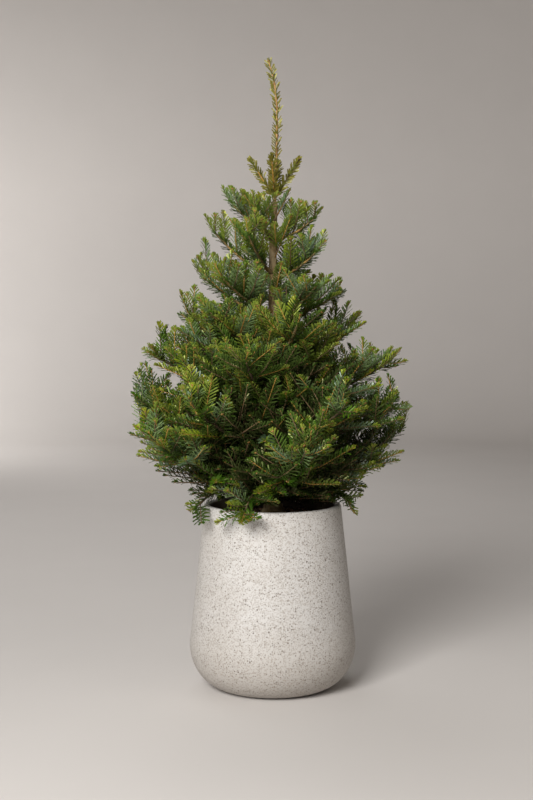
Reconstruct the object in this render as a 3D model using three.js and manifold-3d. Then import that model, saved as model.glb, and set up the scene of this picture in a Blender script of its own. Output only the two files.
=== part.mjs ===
// A potted fraser fir: a young conifer about 0.8 m tall in a tapered stone planter.
// Millimetres, +Z up, origin at the centre of the planter's flat underside, front towards -Y.
import * as THREE from 'three';
import { mergeVertices } from 'three/addons/utils/BufferGeometryUtils.js';
import Module from 'manifold-3d';

const wasm = await Module();
wasm.setup();

// Driving dimensions of the planter and its compost
const PLANTER = {
  height: 336,
  rimRadius: 125,
  bellyRadius: 152.5,
  bellyHeight: 79,
  footRadius: 87,
  wall: 12,
  floor: 14,
  lip: 3,
  sides: 32,
};
const SOIL = { depthBelowRim: 24, mound: 6, flatRadius: 34, wallGap: 1.5, sides: 16 };

// Driving dimensions of the trunk, from the compost to the foot of the leading shoot
const TRUNK = {
  footRadius: 14.5,
  tipRadius: 4.2,
  tipHeight: 886,
  flare: 9,
  flareHeight: 34,
  flareRings: [0, 8, 18, 34],
  sway: 1.6,
  lean: 3.5,
  rings: 12,
  sides: 8,
};

// The leading shoot, above the trunk. It is bare at its foot and leans to the left near its top.
const LEADER = {
  height: 1146,
  radius: 3.6,
  tipRadius: 3,
  bareHeight: 34,
  needle: 10,
  teeth: 9,
  bow: 4,
  lean: 16,
  leanFrom: 0.68,
};

// The ring of small upright shoots round the foot of the leading shoot
const CROWN_RING = { turns: [2, 82, 171, 262], reach: 52, rise: 76, needle: 11, teeth: 4 };

// Clearances: between touching solids, and from foliage to the edge of its space, trunk and planter
const GAP = 0.3;
const MARGIN = 1.5;
const TRUNK_MARGIN = 3.5;
const POT_MARGIN = 5;

// The levels of limbs, from the lowest up. Each limb leaves the trunk's axis at height base and follows
// height = base + (rise - slant * cos(turn)) * t - 4 * sag * t * (1 - t), with t its distance from the
// axis over reach, so that slant lowers the limbs on the right and lifts those on the left. bare is the
// share of it that is a bare bough, turns are the limbs' directions in degrees from +X, shoots says how
// many side shoots stand from where to where, tilt how far they lean up, and needle is a spray's half
// width.
const LEVELS = [
  {
    name: 'skirt', base: 352, reach: 178, rise: -46, slant: 0, sag: -42, bare: 0, stem: 3.2,
    shoots: { count: 4, from: 0.5, to: 0.82 }, tilt: [-0.2, 0.3], needle: 18,
    turns: [70, 197, 248, 346],
  },
  {
    name: 'low', base: 380, reach: 282, rise: 90, slant: 0, sag: 20, bare: 0.26, stem: 5.0,
    shoots: { count: 6, from: 0.32, to: 0.84 }, tilt: [-0.5, 0.25], needle: 24,
    turns: [19, 92, 161, 217, 281],
  },
  {
    name: 'broad', base: 446, reach: 270, rise: 92, slant: 0, sag: 20, bare: 0.25, stem: 5.4,
    shoots: { count: 5, from: 0.34, to: 0.84 }, tilt: [-0.35, 0.4], needle: 24,
    turns: [357, 56, 118, 181, 238, 300],
  },
  {
    name: 'middle', base: 522, reach: 242, rise: 98, slant: 4, sag: 20, bare: 0.24, stem: 5.2,
    shoots: { count: 6, from: 0.3, to: 0.84 }, tilt: [-0.25, 0.45], needle: 23,
    turns: [2, 72, 134, 188, 256],
  },
  {
    name: 'shoulder', base: 604, reach: 204, rise: 94, slant: 12, sag: 18, bare: 0, stem: 4.6,
    shoots: { count: 5, from: 0.32, to: 0.82 }, tilt: [-0.1, 0.5], needle: 22,
    turns: [34, 104, 164, 226, 286],
  },
  {
    name: 'upper', base: 682, reach: 166, rise: 80, slant: 14, sag: 16, bare: 0, stem: 4.0,
    shoots: { count: 5, from: 0.32, to: 0.8 }, tilt: [0, 0.6], needle: 20,
    turns: [18, 90, 160, 232, 304],
  },
  {
    name: 'high', base: 752, reach: 130, rise: 82, slant: 30, sag: 14, bare: 0, stem: 3.4,
    shoots: { count: 4, from: 0.34, to: 0.78 }, tilt: [0.1, 0.7], needle: 17,
    turns: [48, 118, 184, 244, 318],
  },
  {
    name: 'spire', base: 820, reach: 98, rise: 76, slant: 14, sag: 12, bare: 0, stem: 2.9,
    shoots: { count: 3, from: 0.4, to: 0.74 }, tilt: [0.2, 0.7], needle: 14,
    turns: [346, 58, 122, 180, 246],
  },
];
const TOP_LEVEL = { base: TRUNK.tipHeight + 6, ...CROWN_RING, slant: 0, sag: 4 };

// How the limbs differ: depth of the lowest level's space, height between neighbours' roots, tip radius
// over root radius, and ranges of reach, rise and sideways bend
const LIMB = {
  skirtDepth: 42,
  stagger: 4,
  taper: 0.3,
  reachRange: [0.96, 1.03],
  riseRange: [-6, 6],
  bendRange: [-0.05, 0.05],
  boughSides: 6,
  boughRings: 3,
  stemSides: 3,
  stemRings: 4,
};

// How side shoots stand on their limb: degrees from it, their spread along it, and their length, which
// is a share of what is left of the limb plus a little
const SHOOT = {
  angleRange: [40, 54],
  placeRange: [-0.02, 0.02],
  lengthRange: [0.9, 1.08],
  lengthShare: 0.72,
  shortest: 30,
};

// A spray of needles: rise of its teeth over their width, how far it may be turned about its own line,
// the length that one tooth stands for, the rise of its line, its thickness over its width, the forward
// rake of its teeth, the part of a sine that its width follows, the places of a tooth, of the notch
// after it and of the tip, in teeth, its slimmest core, and the lengths tried where space is short
const SPRAY = {
  lift: 0.4,
  roll: 0.6,
  toothLength: 42,
  fewestTeeth: 2,
  mostTeeth: 3,
  curl: 0.1,
  body: 0.22,
  rake: 0.55,
  outline: [0.3, 0.78],
  toothPlace: 0.75,
  notchPlace: 1.25,
  tipPlace: 0.45,
  core: 1.2,
  lengthsTried: [1, 0.86, 0.72, 0.6],
};

const degrees = Math.PI / 180;
const upright = new THREE.Vector3(0, 0, 1);
const front = new THREE.Vector3(0, -1, 0);
const mix = (a, b, t) => a + (b - a) * t;
const clamp = (value, low, high) => Math.min(Math.max(value, low), high);

// A seeded run of numbers from 0 to 1, the same each time
function makeRandom(seed) {
  let state = (seed * 7919 + 17) >>> 0;
  return () => {
    state = (Math.imul(state, 1664525) + 1013904223) >>> 0;
    return state / 4294967296;
  };
}

// A closed geometry as a solid that can be joined and cut
function solidOf(geometry) {
  const bare = new THREE.BufferGeometry();
  bare.setAttribute('position', geometry.getAttribute('position'));
  bare.setIndex(geometry.getIndex());
  const merged = mergeVertices(bare, 1e-4);
  const vertProperties = new Float32Array(merged.getAttribute('position').array);
  const triVerts = new Uint32Array(merged.getIndex().array);
  return new wasm.Manifold(new wasm.Mesh({ numProp: 3, vertProperties, triVerts }));
}

// A joined or cut solid as a geometry
function geometryOf(solid) {
  const mesh = solid.getMesh();
  const geometry = new THREE.BufferGeometry();
  geometry.setAttribute('position', new THREE.BufferAttribute(mesh.vertProperties.slice(), 3));
  geometry.setIndex(new THREE.BufferAttribute(mesh.triVerts.slice(), 1));
  return geometry.toNonIndexed();
}

// A closed skin over rings of points. Every ring has the same number of points, counter-clockwise seen
// from the ring after it, and a last ring of one point closes the end to a tip.
function loft(rings) {
  const sides = rings[0].length;
  const faces = [];
  for (let k = 1; k < sides - 1; k++) faces.push(0, k + 1, k);
  for (let i = 1; i < rings.length; i++) {
    const below = (i - 1) * sides;
    const above = i * sides;
    for (let k = 0; k < sides; k++) {
      const next = (k + 1) % sides;
      if (rings[i].length === 1) faces.push(below + k, below + next, above);
      else faces.push(below + k, below + next, above + next, below + k, above + next, above + k);
    }
  }
  if (rings.at(-1).length > 1) {
    const last = (rings.length - 1) * sides;
    for (let k = 1; k < sides - 1; k++) faces.push(last, last + k, last + k + 1);
  }
  const geometry = new THREE.BufferGeometry();
  const numbers = rings.flat().flatMap((point) => point.toArray());
  geometry.setAttribute('position', new THREE.Float32BufferAttribute(numbers, 3));
  geometry.setIndex(faces);
  return geometry;
}

// Side and upper directions at right angles to a direction of growth
function across(heading, up) {
  const side = new THREE.Vector3().crossVectors(up, heading).normalize();
  return [side, new THREE.Vector3().crossVectors(heading, side).normalize()];
}

// A limb of round section: path(u) and radius(u) for u from 0 to 1
function taperedLimb({ path, radius, sides, steps, up }) {
  const nearby = 0.01;
  return loft(Array.from({ length: steps + 1 }, (_, i) => {
    const u = i / steps;
    const heading = path(Math.min(u + nearby, 1)).sub(path(Math.max(u - nearby, 0))).normalize();
    const [side, over] = across(heading, up);
    const centre = path(u);
    return Array.from({ length: sides }, (__, k) => {
      const angle = (k / sides) * 2 * Math.PI;
      return centre.clone()
        .addScaledVector(side, Math.cos(angle) * radius(u))
        .addScaledVector(over, Math.sin(angle) * radius(u));
    });
  }));
}

// The planter's wall: an elliptical corner from the foot to the belly, then straight in to the rim
function planterRadius(z, inset = 0) {
  const { height, rimRadius, bellyRadius, bellyHeight, footRadius } = PLANTER;
  if (z >= bellyHeight) return mix(bellyRadius, rimRadius, (z - bellyHeight) / (height - bellyHeight)) - inset;
  const drop = (bellyHeight - Math.max(z, 0)) / bellyHeight;
  return mix(footRadius, bellyRadius, Math.sqrt(1 - drop * drop)) - inset;
}

// Heights along the rounded corner, close together near the foot where it turns fastest
const cornerHeights = (count) => Array.from({ length: count + 1 }, (_, i) =>
  PLANTER.bellyHeight * (1 - Math.cos((i / count) * Math.PI / 2)));
const outerHeights = cornerHeights(5);
const innerHeights = cornerHeights(3).filter((z) => z > PLANTER.floor);

// A turned solid from its outline, a list of radius and height up its outside
function turnedSolid(outline, sides) {
  return new THREE.LatheGeometry(outline.map(([r, z]) => new THREE.Vector2(r, z)), sides).rotateX(Math.PI / 2);
}

function makePlanter() {
  const { height, wall, floor, lip, sides } = PLANTER;
  return turnedSolid([
    [0, 0],
    ...outerHeights.map((z) => [planterRadius(z), z]),
    [planterRadius(height - lip), height - lip],
    [planterRadius(height, lip), height],
    [planterRadius(height, wall - lip), height],
    [planterRadius(height - lip, wall), height - lip],
    ...innerHeights.map((z) => [planterRadius(z, wall), z]).reverse(),
    [planterRadius(floor, wall + lip), floor],
    [0, floor],
  ], sides);
}

const soilHeight = PLANTER.height - SOIL.depthBelowRim;
const groundHeight = soilHeight + SOIL.mound;

// The compost with the root ball, resting on the planter's floor and mounded a little round the trunk
function makeSoil() {
  const { floor, wall, lip } = PLANTER;
  const inset = wall + SOIL.wallGap;
  return turnedSolid([
    [0, floor + GAP],
    [planterRadius(floor, inset + lip), floor + GAP],
    ...innerHeights.map((z) => [planterRadius(z, inset), z]),
    [planterRadius(soilHeight, inset), soilHeight],
    [SOIL.flatRadius * 2, mix(soilHeight, groundHeight, 0.5)],
    [SOIL.flatRadius, groundHeight],
    [0, groundHeight],
  ], SOIL.sides);
}

// The trunk's centre line at height z: almost upright, swaying a little, its top leaning to the right
const trunkFoot = groundHeight + GAP;
function trunkPoint(z) {
  const share = clamp((z - trunkFoot) / (TRUNK.tipHeight - trunkFoot), 0, 1);
  const x = TRUNK.lean * share ** 4 - TRUNK.sway * Math.sin(3 * Math.PI * share);
  return new THREE.Vector3(x, TRUNK.sway * Math.sin(2 * Math.PI * share), z);
}

// An even taper, with the root flare added near the foot
function trunkRadius(z) {
  const taper = mix(TRUNK.footRadius, TRUNK.tipRadius, (z - trunkFoot) / (TRUNK.tipHeight - trunkFoot));
  const flare = Math.max(0, 1 - (z - trunkFoot) / TRUNK.flareHeight);
  return taper + TRUNK.flare * flare * flare;
}

// The trunk as a skin over rings, grown by extra all round
function trunkSkin(extra = 0) {
  const flareTop = trunkFoot + TRUNK.flareHeight;
  const heights = TRUNK.flareRings.map((z) => trunkFoot + z);
  for (let i = 1; i <= TRUNK.rings; i++) heights.push(mix(flareTop, TRUNK.tipHeight, i / TRUNK.rings));
  return loft(heights.map((z) => {
    const centre = trunkPoint(z);
    const radius = trunkRadius(z) + extra;
    return Array.from({ length: TRUNK.sides }, (_, k) => {
      const angle = (k / TRUNK.sides) * 2 * Math.PI;
      return new THREE.Vector3(centre.x + radius * Math.cos(angle), centre.y + radius * Math.sin(angle), z);
    });
  }));
}
const trunkSleeve = solidOf(trunkSkin(GAP / Math.cos(Math.PI / TRUNK.sides)));

// Height of a level's limbs at a distance from the trunk, in the direction whose cosine is given
function levelHeight({ base, reach, rise, slant, sag }, distance, cosine) {
  const t = distance / reach;
  return base + (rise - slant * cosine) * t - 4 * sag * t * (1 - t);
}

// The space of one limb, as a test on a point: between half-way surfaces to the levels above and below,
// between half-way directions to its neighbours, and clear of the planter and the trunk
function spaceOf(levelIndex, limbIndex) {
  const level = LEVELS[levelIndex];
  const above = LEVELS[levelIndex + 1] ?? TOP_LEVEL;
  const below = LEVELS[levelIndex - 1];
  const turn = level.turns[limbIndex];
  const gaps = level.turns.map((other) => (other - turn + 360) % 360).filter((gap) => gap > 0);
  const halfLeft = Math.min(...gaps) / 2;
  const halfRight = (360 - Math.max(...gaps)) / 2;
  return (point) => {
    const distance = Math.hypot(point.x, point.y);
    const cosine = point.x / Math.max(distance, MARGIN);
    const own = levelHeight(level, distance, cosine);
    const top = (own + levelHeight(above, distance, cosine)) / 2;
    const bottom = below ? (own + levelHeight(below, distance, cosine)) / 2 : own - LIMB.skirtDepth;
    if (point.z > top - MARGIN || point.z < bottom + MARGIN) return false;
    const away = (Math.atan2(point.y, point.x) / degrees - turn + 900) % 360 - 180;
    const toEdge = clamp((away > 0 ? halfLeft : halfRight) - Math.abs(away), -90, 90);
    if (distance * Math.sin(toEdge * degrees) < MARGIN) return false;
    const besidePot = point.z < PLANTER.height + POT_MARGIN;
    if (besidePot && distance < planterRadius(point.z) + POT_MARGIN) return false;
    return distance > trunkRadius(point.z) + TRUNK_MARGIN;
  };
}

// One limb of a level: its line, its small differences from its neighbours, and its space
function makeLimb(levelIndex, limbIndex) {
  const level = LEVELS[levelIndex];
  const random = makeRandom(levelIndex * 100 + limbIndex);
  const turn = level.turns[limbIndex] * degrees;
  const reach = level.reach * mix(...LIMB.reachRange, random());
  const rise = level.rise - level.slant * Math.cos(turn) + mix(...LIMB.riseRange, random());
  const bend = mix(...LIMB.bendRange, random());
  const root = trunkPoint(level.base);
  const lift = limbIndex % 2 ? LIMB.stagger : -LIMB.stagger;
  const line = (t) => {
    const angle = turn + bend * t;
    return new THREE.Vector3(
      reach * t * Math.cos(angle) + root.x * (1 - t),
      reach * t * Math.sin(angle) + root.y * (1 - t),
      level.base + lift * (1 - t) + rise * t - 4 * level.sag * t * (1 - t),
    );
  };
  const radius = (t) => level.stem * mix(1, LIMB.taper, t);
  return { level, line, radius, reach, random, inside: spaceOf(levelIndex, limbIndex) };
}

// A spray of needles: a toothed blade round a slim core, its teeth slanting forward and raised a little
// above the core, as the needles of a shoot stand. Its root lies in the stem that it grows from. body
// is its thickness at a tooth over its width there, so that a body near 1 makes a round brush.
function makeSpray({ line, heading, up, halfWidth, teeth, core, lift, body }) {
  const [side, over] = across(heading, up);
  const pitch = 1 / (teeth + SPRAY.tipPlace);
  const ring = (share, half, forward, thick) => {
    const centre = line(share);
    const tooth = (sign) => centre.clone()
      .addScaledVector(side, sign * half)
      .addScaledVector(heading, forward)
      .addScaledVector(over, lift * half);
    const ridge = (sign) => centre.clone()
      .addScaledVector(heading, forward * body)
      .addScaledVector(over, sign * thick);
    return [tooth(1), ridge(1), tooth(-1), ridge(-1)];
  };
  const rings = [ring(0, core, 0, core)];
  for (let i = 0; i < teeth; i++) {
    const half = halfWidth * Math.sin(Math.PI * mix(...SPRAY.outline, (i + 0.5) / teeth));
    rings.push(ring((i + SPRAY.toothPlace) * pitch, half, half * SPRAY.rake, Math.max(half * body, core)));
    if (i < teeth - 1) rings.push(ring((i + SPRAY.notchPlace) * pitch, core, 0, core));
  }
  rings.push([line(1)]);
  return rings;
}

// A shoot that curls up a little, kept to its space: it is tried shorter, and left out if it still
// leaves the space
function fittedSpray({ inside, root, heading, up, length, halfWidth, core }) {
  const [, over] = across(heading, up);
  const { lift, body, curl, toothLength, fewestTeeth, mostTeeth } = SPRAY;
  for (const share of SPRAY.lengthsTried) {
    const reach = length * share;
    const line = (t) => root.clone()
      .addScaledVector(heading, t * reach)
      .addScaledVector(over, curl * reach * t * t);
    const teeth = clamp(Math.round(reach / toothLength), fewestTeeth, mostTeeth);
    const rings = makeSpray({ line, heading, up, halfWidth, teeth, core, lift, body });
    if (rings.slice(1).flat().every(inside)) return loft(rings);
  }
  return null;
}

// The bare inner part of a main limb, from the trunk to where it enters its foliage
function makeBough({ level, line, radius }) {
  const limb = taperedLimb({
    path: (u) => line(u * level.bare),
    radius: (u) => radius(u * level.bare),
    sides: LIMB.boughSides,
    steps: LIMB.boughRings,
    up: upright,
  });
  return solidOf(limb).subtract(trunkSleeve);
}

// The foliage of one limb: its stem, side shoots to left and right in turn, and the leading shoot,
// each a spray of needles
function makeFoliage({ level, line, radius, reach, random, inside }) {
  const { shoots, tilt, needle, bare } = level;
  const start = bare ? bare + GAP / reach : 0;
  const leadFrom = mix(shoots.to, 1, 0.1);
  const stem = taperedLimb({
    path: (u) => line(mix(start, leadFrom, u)),
    radius: (u) => radius(mix(start, leadFrom, u)),
    sides: LIMB.stemSides,
    steps: LIMB.stemRings,
    up: upright,
  });
  let solid = bare ? solidOf(stem) : solidOf(stem).subtract(trunkSleeve);

  const addShoot = (t, angle, lean, roll, length) => {
    const along = line(t + 0.02).sub(line(t - 0.02)).normalize();
    const [side, over] = across(along, upright);
    const heading = along.multiplyScalar(Math.cos(angle))
      .addScaledVector(side, Math.sin(angle))
      .addScaledVector(over, lean)
      .normalize();
    const up = upright.clone().applyAxisAngle(heading, roll);
    const core = Math.max(radius(t) / 2, SPRAY.core);
    const spray = fittedSpray({ inside, root: line(t), heading, up, length, halfWidth: needle, core });
    if (spray) solid = solid.add(solidOf(spray));
  };

  for (let i = 0; i < shoots.count; i++) {
    const sign = i % 2 ? 1 : -1;
    const place = mix(shoots.from, shoots.to, i / (shoots.count - 1)) + mix(...SHOOT.placeRange, random());
    const angle = sign * mix(...SHOOT.angleRange, random()) * degrees;
    const lean = mix(...tilt, random());
    const full = reach * (1 - place) * SHOOT.lengthShare + SHOOT.shortest;
    const length = full * mix(...SHOOT.lengthRange, random());
    const roll = sign * mix(-SPRAY.roll, SPRAY.roll / 2, random());
    addShoot(place, angle, lean, roll, length);
  }
  const leadFoot = leadFrom - 0.04;
  const leadRoll = mix(-SPRAY.roll, SPRAY.roll, random());
  addShoot(leadFoot, 0, 0, leadRoll, line(1).distanceTo(line(leadFoot)));
  return solid;
}

// The leading shoot's centre line at height z, from the trunk's tip up
function leaderPoint(z) {
  const foot = trunkPoint(TRUNK.tipHeight);
  const share = (z - TRUNK.tipHeight) / (LEADER.height - TRUNK.tipHeight);
  const bow = LEADER.bow * Math.sin(0.8 * Math.PI * share);
  const lean = LEADER.lean * Math.max(0, (share - LEADER.leanFrom) / (1 - LEADER.leanFrom)) ** 1.6;
  return new THREE.Vector3(foot.x + bow - lean, foot.y, z);
}

// The top of the tree: the leading shoot with its ring of small side shoots, on the trunk's tip
function makeTop() {
  const foot = TRUNK.tipHeight + GAP;
  const needlesFrom = foot + LEADER.bareHeight;
  const overlap = 8;
  const stem = taperedLimb({
    path: (u) => leaderPoint(mix(foot, needlesFrom, u)),
    radius: (u) => mix(LEADER.radius, LEADER.tipRadius, u),
    sides: 4,
    steps: 2,
    up: front,
  });
  const shoot = makeSpray({
    line: (t) => leaderPoint(mix(needlesFrom - overlap, LEADER.height, t)),
    heading: upright,
    up: front,
    halfWidth: LEADER.needle,
    teeth: LEADER.teeth,
    core: 2.2,
    lift: 0,
    body: 0.8,
  });
  let solid = solidOf(stem).add(solidOf(loft(shoot)));
  const root = leaderPoint(foot + 5);
  CROWN_RING.turns.forEach((turn, i) => {
    const reach = CROWN_RING.reach * mix(0.8, 1.05, makeRandom(900 + i)());
    const angle = turn * degrees;
    const way = new THREE.Vector3(reach * Math.cos(angle), reach * Math.sin(angle), CROWN_RING.rise);
    const side = makeSpray({
      line: (t) => root.clone().addScaledVector(way, t),
      heading: way.clone().normalize(),
      up: upright,
      halfWidth: CROWN_RING.needle,
      teeth: CROWN_RING.teeth,
      core: 1.6,
      lift: 0.2,
      body: 0.7,
    });
    solid = solid.add(solidOf(loft(side)));
  });
  return solid;
}

// Colours and finishes
const finish = (color, roughness) => new THREE.MeshStandardMaterial({ color, roughness, metalness: 0 });
const stone = finish(0xcfc9c0, 0.75);
const compost = finish(0x3a2a20, 1);
const bark = finish(0x7a6248, 0.9);
const needles = finish(0x35542e, 0.6);
const youngNeedles = finish(0x77803a, 0.6);

const fir = new THREE.Group();
function place(name, geometry, material) {
  const mesh = new THREE.Mesh(geometry, material);
  mesh.name = name;
  fir.add(mesh);
}

place('planter', makePlanter(), stone);
place('soil', makeSoil(), compost);
place('trunk', trunkSkin(), bark);
place('top_shoots', geometryOf(makeTop()), youngNeedles);
LEVELS.forEach((level, levelIndex) => {
  level.turns.forEach((_, limbIndex) => {
    const limb = makeLimb(levelIndex, limbIndex);
    const tag = `${level.name}_${limbIndex + 1}`;
    if (level.bare) place(`bough_${tag}`, geometryOf(makeBough(limb)), bark);
    place(`foliage_${tag}`, geometryOf(makeFoliage(limb)), needles);
  });
});

export default fir;
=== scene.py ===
"""A potted Fraser fir: a young conifer with upswept sprays of needles, in a rounded stone planter.

Metres, +Z up, origin at the centre of the planter's flat underside, front towards -Y. The solids of the
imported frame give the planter, trunk and limbs their places; the pieces made here stand for them. The
crown grows by a seeded rule: limbs in levels up the trunk, side shoots on the limbs, twigs on the
shoots, and needles on them all.
"""

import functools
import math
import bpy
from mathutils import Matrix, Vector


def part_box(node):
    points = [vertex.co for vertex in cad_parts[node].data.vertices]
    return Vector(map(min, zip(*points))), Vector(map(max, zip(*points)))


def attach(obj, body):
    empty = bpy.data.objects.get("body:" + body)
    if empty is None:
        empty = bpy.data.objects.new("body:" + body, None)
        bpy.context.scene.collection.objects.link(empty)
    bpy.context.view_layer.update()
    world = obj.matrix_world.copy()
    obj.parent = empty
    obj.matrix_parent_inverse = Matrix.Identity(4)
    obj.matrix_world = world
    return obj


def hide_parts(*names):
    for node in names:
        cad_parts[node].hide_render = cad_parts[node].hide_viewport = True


bl_info = {
    "name": "Potted Fraser Fir",
    "version": (1, 0, 0),
    "blender": (4, 5, 0),
    "location": "3D View > Sidebar > Fir",
    "description": "Dresses the solids of a potted fir with stone, bark, twigs, buds and needles",
    "category": "Add Mesh",
}

from dataclasses import dataclass, fields, replace

import bpy
import numpy as np
from mathutils import Vector

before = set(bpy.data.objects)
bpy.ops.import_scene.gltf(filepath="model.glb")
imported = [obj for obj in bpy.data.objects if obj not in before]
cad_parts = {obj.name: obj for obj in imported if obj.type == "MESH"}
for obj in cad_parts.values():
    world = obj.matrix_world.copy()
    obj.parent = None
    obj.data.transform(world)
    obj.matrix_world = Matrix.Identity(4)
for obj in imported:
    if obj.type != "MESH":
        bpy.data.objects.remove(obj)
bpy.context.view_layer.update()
BODY = "root"
PLANTER_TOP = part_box("planter")[1].z
SOIL_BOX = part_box("soil")
TRUNK_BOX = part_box("trunk")

# The planter, from its outline: radii, the height of its widest ring, the thickness of its wall and how
# much that leans in, and its floor
RIM_RADIUS = 0.125
BELLY_RADIUS = 0.1525
BELLY_HEIGHT = 0.079
FOOT_RADIUS = 0.087
WALL = 0.012
WALL_LEAN = (BELLY_RADIUS - RIM_RADIUS) / (PLANTER_TOP - BELLY_HEIGHT)
FLOOR = 0.014

# The compost: its gap to the wall, the flat round the trunk, and its height at the wall
SOIL_GAP = 0.0015
SOIL_FLAT = 0.034
SOIL_BELOW_RIM = 0.024
GROUND = SOIL_BOX[1].z

# The trunk, from its flat cut on the ground to the foot of the leading shoot
TRUNK_FOOT = TRUNK_BOX[0].z
TRUNK_TIP = TRUNK_BOX[1].z
TRUNK_RADII = (0.0145, 0.0054)
TRUNK_FLARE = 0.009
TRUNK_FLARE_HEIGHT = 0.034
TRUNK_SWAY = 0.0016
TRUNK_LEAN = 0.0035

# The leading shoot: it bows to the right, leans to the left from a share of its height on, and is bare
# up to a share of its lowest stretch
LEADER_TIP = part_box("top_shoots")[1].z
LEADER_RADII = (0.0028, 0.0012)
LEADER_BOW = 0.004
LEADER_BOW_SPAN = 0.8 * np.pi
LEADER_LEAN = 0.016
LEADER_LEAN_FROM = 0.68
LEADER_LEAN_POWER = 1.6
LEADER_STRETCHES = 6
LEADER_BARE = 0.8
LEADER_NEEDLE = 0.0132

# The ring of small shoots round its foot: directions in degrees, reach and rise, how the reaches differ,
# the share of them that is grown, where the ring starts, and the bare share of every line up there
RING_TURNS = (2, 82, 171, 262)
RING_REACH = 0.052
RING_RISE = 0.076
RING_REACHES = (0.8, 1.05)
RING_LENGTH = 0.95
RING_ABOVE_TRUNK = 0.005
RING_RADII = (0.0016, 0.0011)
RING_NEEDLE = 0.0145
TOP_BARE = 0.05

# Clearances from growth lines to the edge of their space, to the trunk, to the planter and to its rim
MARGIN = 0.0015
TRUNK_MARGIN = 0.0035
POT_MARGIN = 0.013
RIM_MARGIN = 0.006
LOWEST_GROWTH = 0.284

# How far thin shoots may stand up among the next level's, at the foot and top of the crown, or hang down
RISES_BETWEEN = (0.040, 0.006)
HANG_BETWEEN = 0.014

# Between two levels' tips the crown's outline follows a power of the way inwards, larger at the right
PROFILE_POWER = (1.5, 0.9)

# The crown's lower edge: a hem that climbs outwards from a height at a distance from the axis, the
# skirt's depth under its limbs, and how much it is cut back at the sides
HEM = {"distance": 0.14, "height": 0.344, "slope": 0.78}
SKIRT_DEPTH = 0.042
SKIRT_TRIM = 0.016


@dataclass(frozen=True)
class Level:
    """One level of limbs. A limb leaves the trunk's axis at height base and follows
    base + (rise - slant * cos(turn)) * t - 4 * sag * t * (1 - t), with t its distance over reach.
    stem is its radius at the trunk, shoots how many main shoots stand on it and from where to where,
    tilt how far they lean up, and turns the limbs' directions in degrees from +X. drops is how far
    growth stays below the limbs' tips at the crown's left and right, trims how much it is cut back
    there, and shaded the share of the crown's half width that lies in its own shade."""

    name: str
    base: float
    reach: float
    rise: float
    slant: float
    sag: float
    stem: float = 0.0
    shoots: tuple = (0, 0.0, 0.0)
    tilt: tuple = (0.0, 0.0)
    turns: tuple = ()
    drops: tuple = (0.0, 0.0)
    trims: tuple = (0.0, 0.0)
    shaded: float = 0.0


LEVELS = (
    Level(
        "skirt", base=0.352, reach=0.178, rise=-0.046, slant=0, sag=-0.042, stem=0.0032,
        shoots=(4, 0.5, 0.82), tilt=(-0.2, 0.3), turns=(70, 197, 248, 346),
        drops=(0.017, 0.017), shaded=0.62,
    ),
    Level(
        "low", base=0.380, reach=0.282, rise=0.090, slant=0, sag=0.020, stem=0.0050,
        shoots=(6, 0.32, 0.84), tilt=(-0.5, 0.25), turns=(19, 92, 161, 217, 281),
        drops=(-0.008, 0.002), shaded=0.68,
    ),
    Level(
        "broad", base=0.446, reach=0.270, rise=0.092, slant=0, sag=0.020, stem=0.0054,
        shoots=(5, 0.34, 0.84), tilt=(-0.35, 0.4), turns=(357, 56, 118, 181, 238, 300),
        drops=(0.006, 0.016), trims=(0, 0.018), shaded=0.65,
    ),
    Level(
        "middle", base=0.522, reach=0.242, rise=0.098, slant=0.004, sag=0.020, stem=0.0052,
        shoots=(6, 0.3, 0.84), tilt=(-0.25, 0.45), turns=(2, 72, 134, 188, 256),
        drops=(-0.014, -0.004), trims=(0.018, 0.046), shaded=0.57,
    ),
    Level(
        "shoulder", base=0.604, reach=0.204, rise=0.094, slant=0.012, sag=0.018, stem=0.0046,
        shoots=(5, 0.32, 0.82), tilt=(-0.1, 0.5), turns=(34, 104, 164, 226, 286),
        drops=(0.024, 0.004), trims=(0.026, 0.010), shaded=0.38,
    ),
    Level(
        "upper", base=0.682, reach=0.166, rise=0.080, slant=0.014, sag=0.016, stem=0.0040,
        shoots=(5, 0.32, 0.8), tilt=(0, 0.6), turns=(18, 90, 160, 232, 304),
        drops=(0.000, 0.014), trims=(0, 0.022), shaded=0.16,
    ),
    Level(
        "high", base=0.752, reach=0.130, rise=0.082, slant=0.030, sag=0.014, stem=0.0034,
        shoots=(4, 0.34, 0.78), tilt=(0.1, 0.7), turns=(48, 118, 184, 244, 318),
        drops=(0.004, 0.006),
    ),
    Level(
        "spire", base=0.820, reach=0.098, rise=0.076, slant=0.014, sag=0.012, stem=0.0029,
        shoots=(3, 0.4, 0.74), tilt=(0.2, 0.7), turns=(346, 58, 122, 180, 246),
        drops=(0.010, 0.006),
    ),
)
TOP_LEVEL = Level("top", base=TRUNK_TIP + 0.006, reach=RING_REACH, rise=RING_RISE, slant=0, sag=0.004)

# Where each run of random numbers starts
SEEDS = {
    "extra_shoots": 500,
    "ring": 900,
    "trunk_shoots": 81,
    "between_limbs": 91,
    "mulch": 31,
    "blisters": 43,
    "twigs": 51,
    "buds": 61,
    "needles": 71,
}

# How many levels, from the foot up, have more shoots near their limbs' ends, and how many of those have
# shoots of other kinds than the rest
FULL_LEVELS = 4
LOW_LEVELS = 2

# How limbs differ from their level and from each other, their taper, and the share of a stem that has
# no needles
LIMB_REACH = (0.96, 1.03)
LIMB_RISE = (-0.006, 0.006)
LIMB_BEND = (-0.05, 0.05)
LIMB_STAGGER = 0.004
LIMB_TAPER = 0.22
NEEDLED_STEM = 0.30

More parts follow.
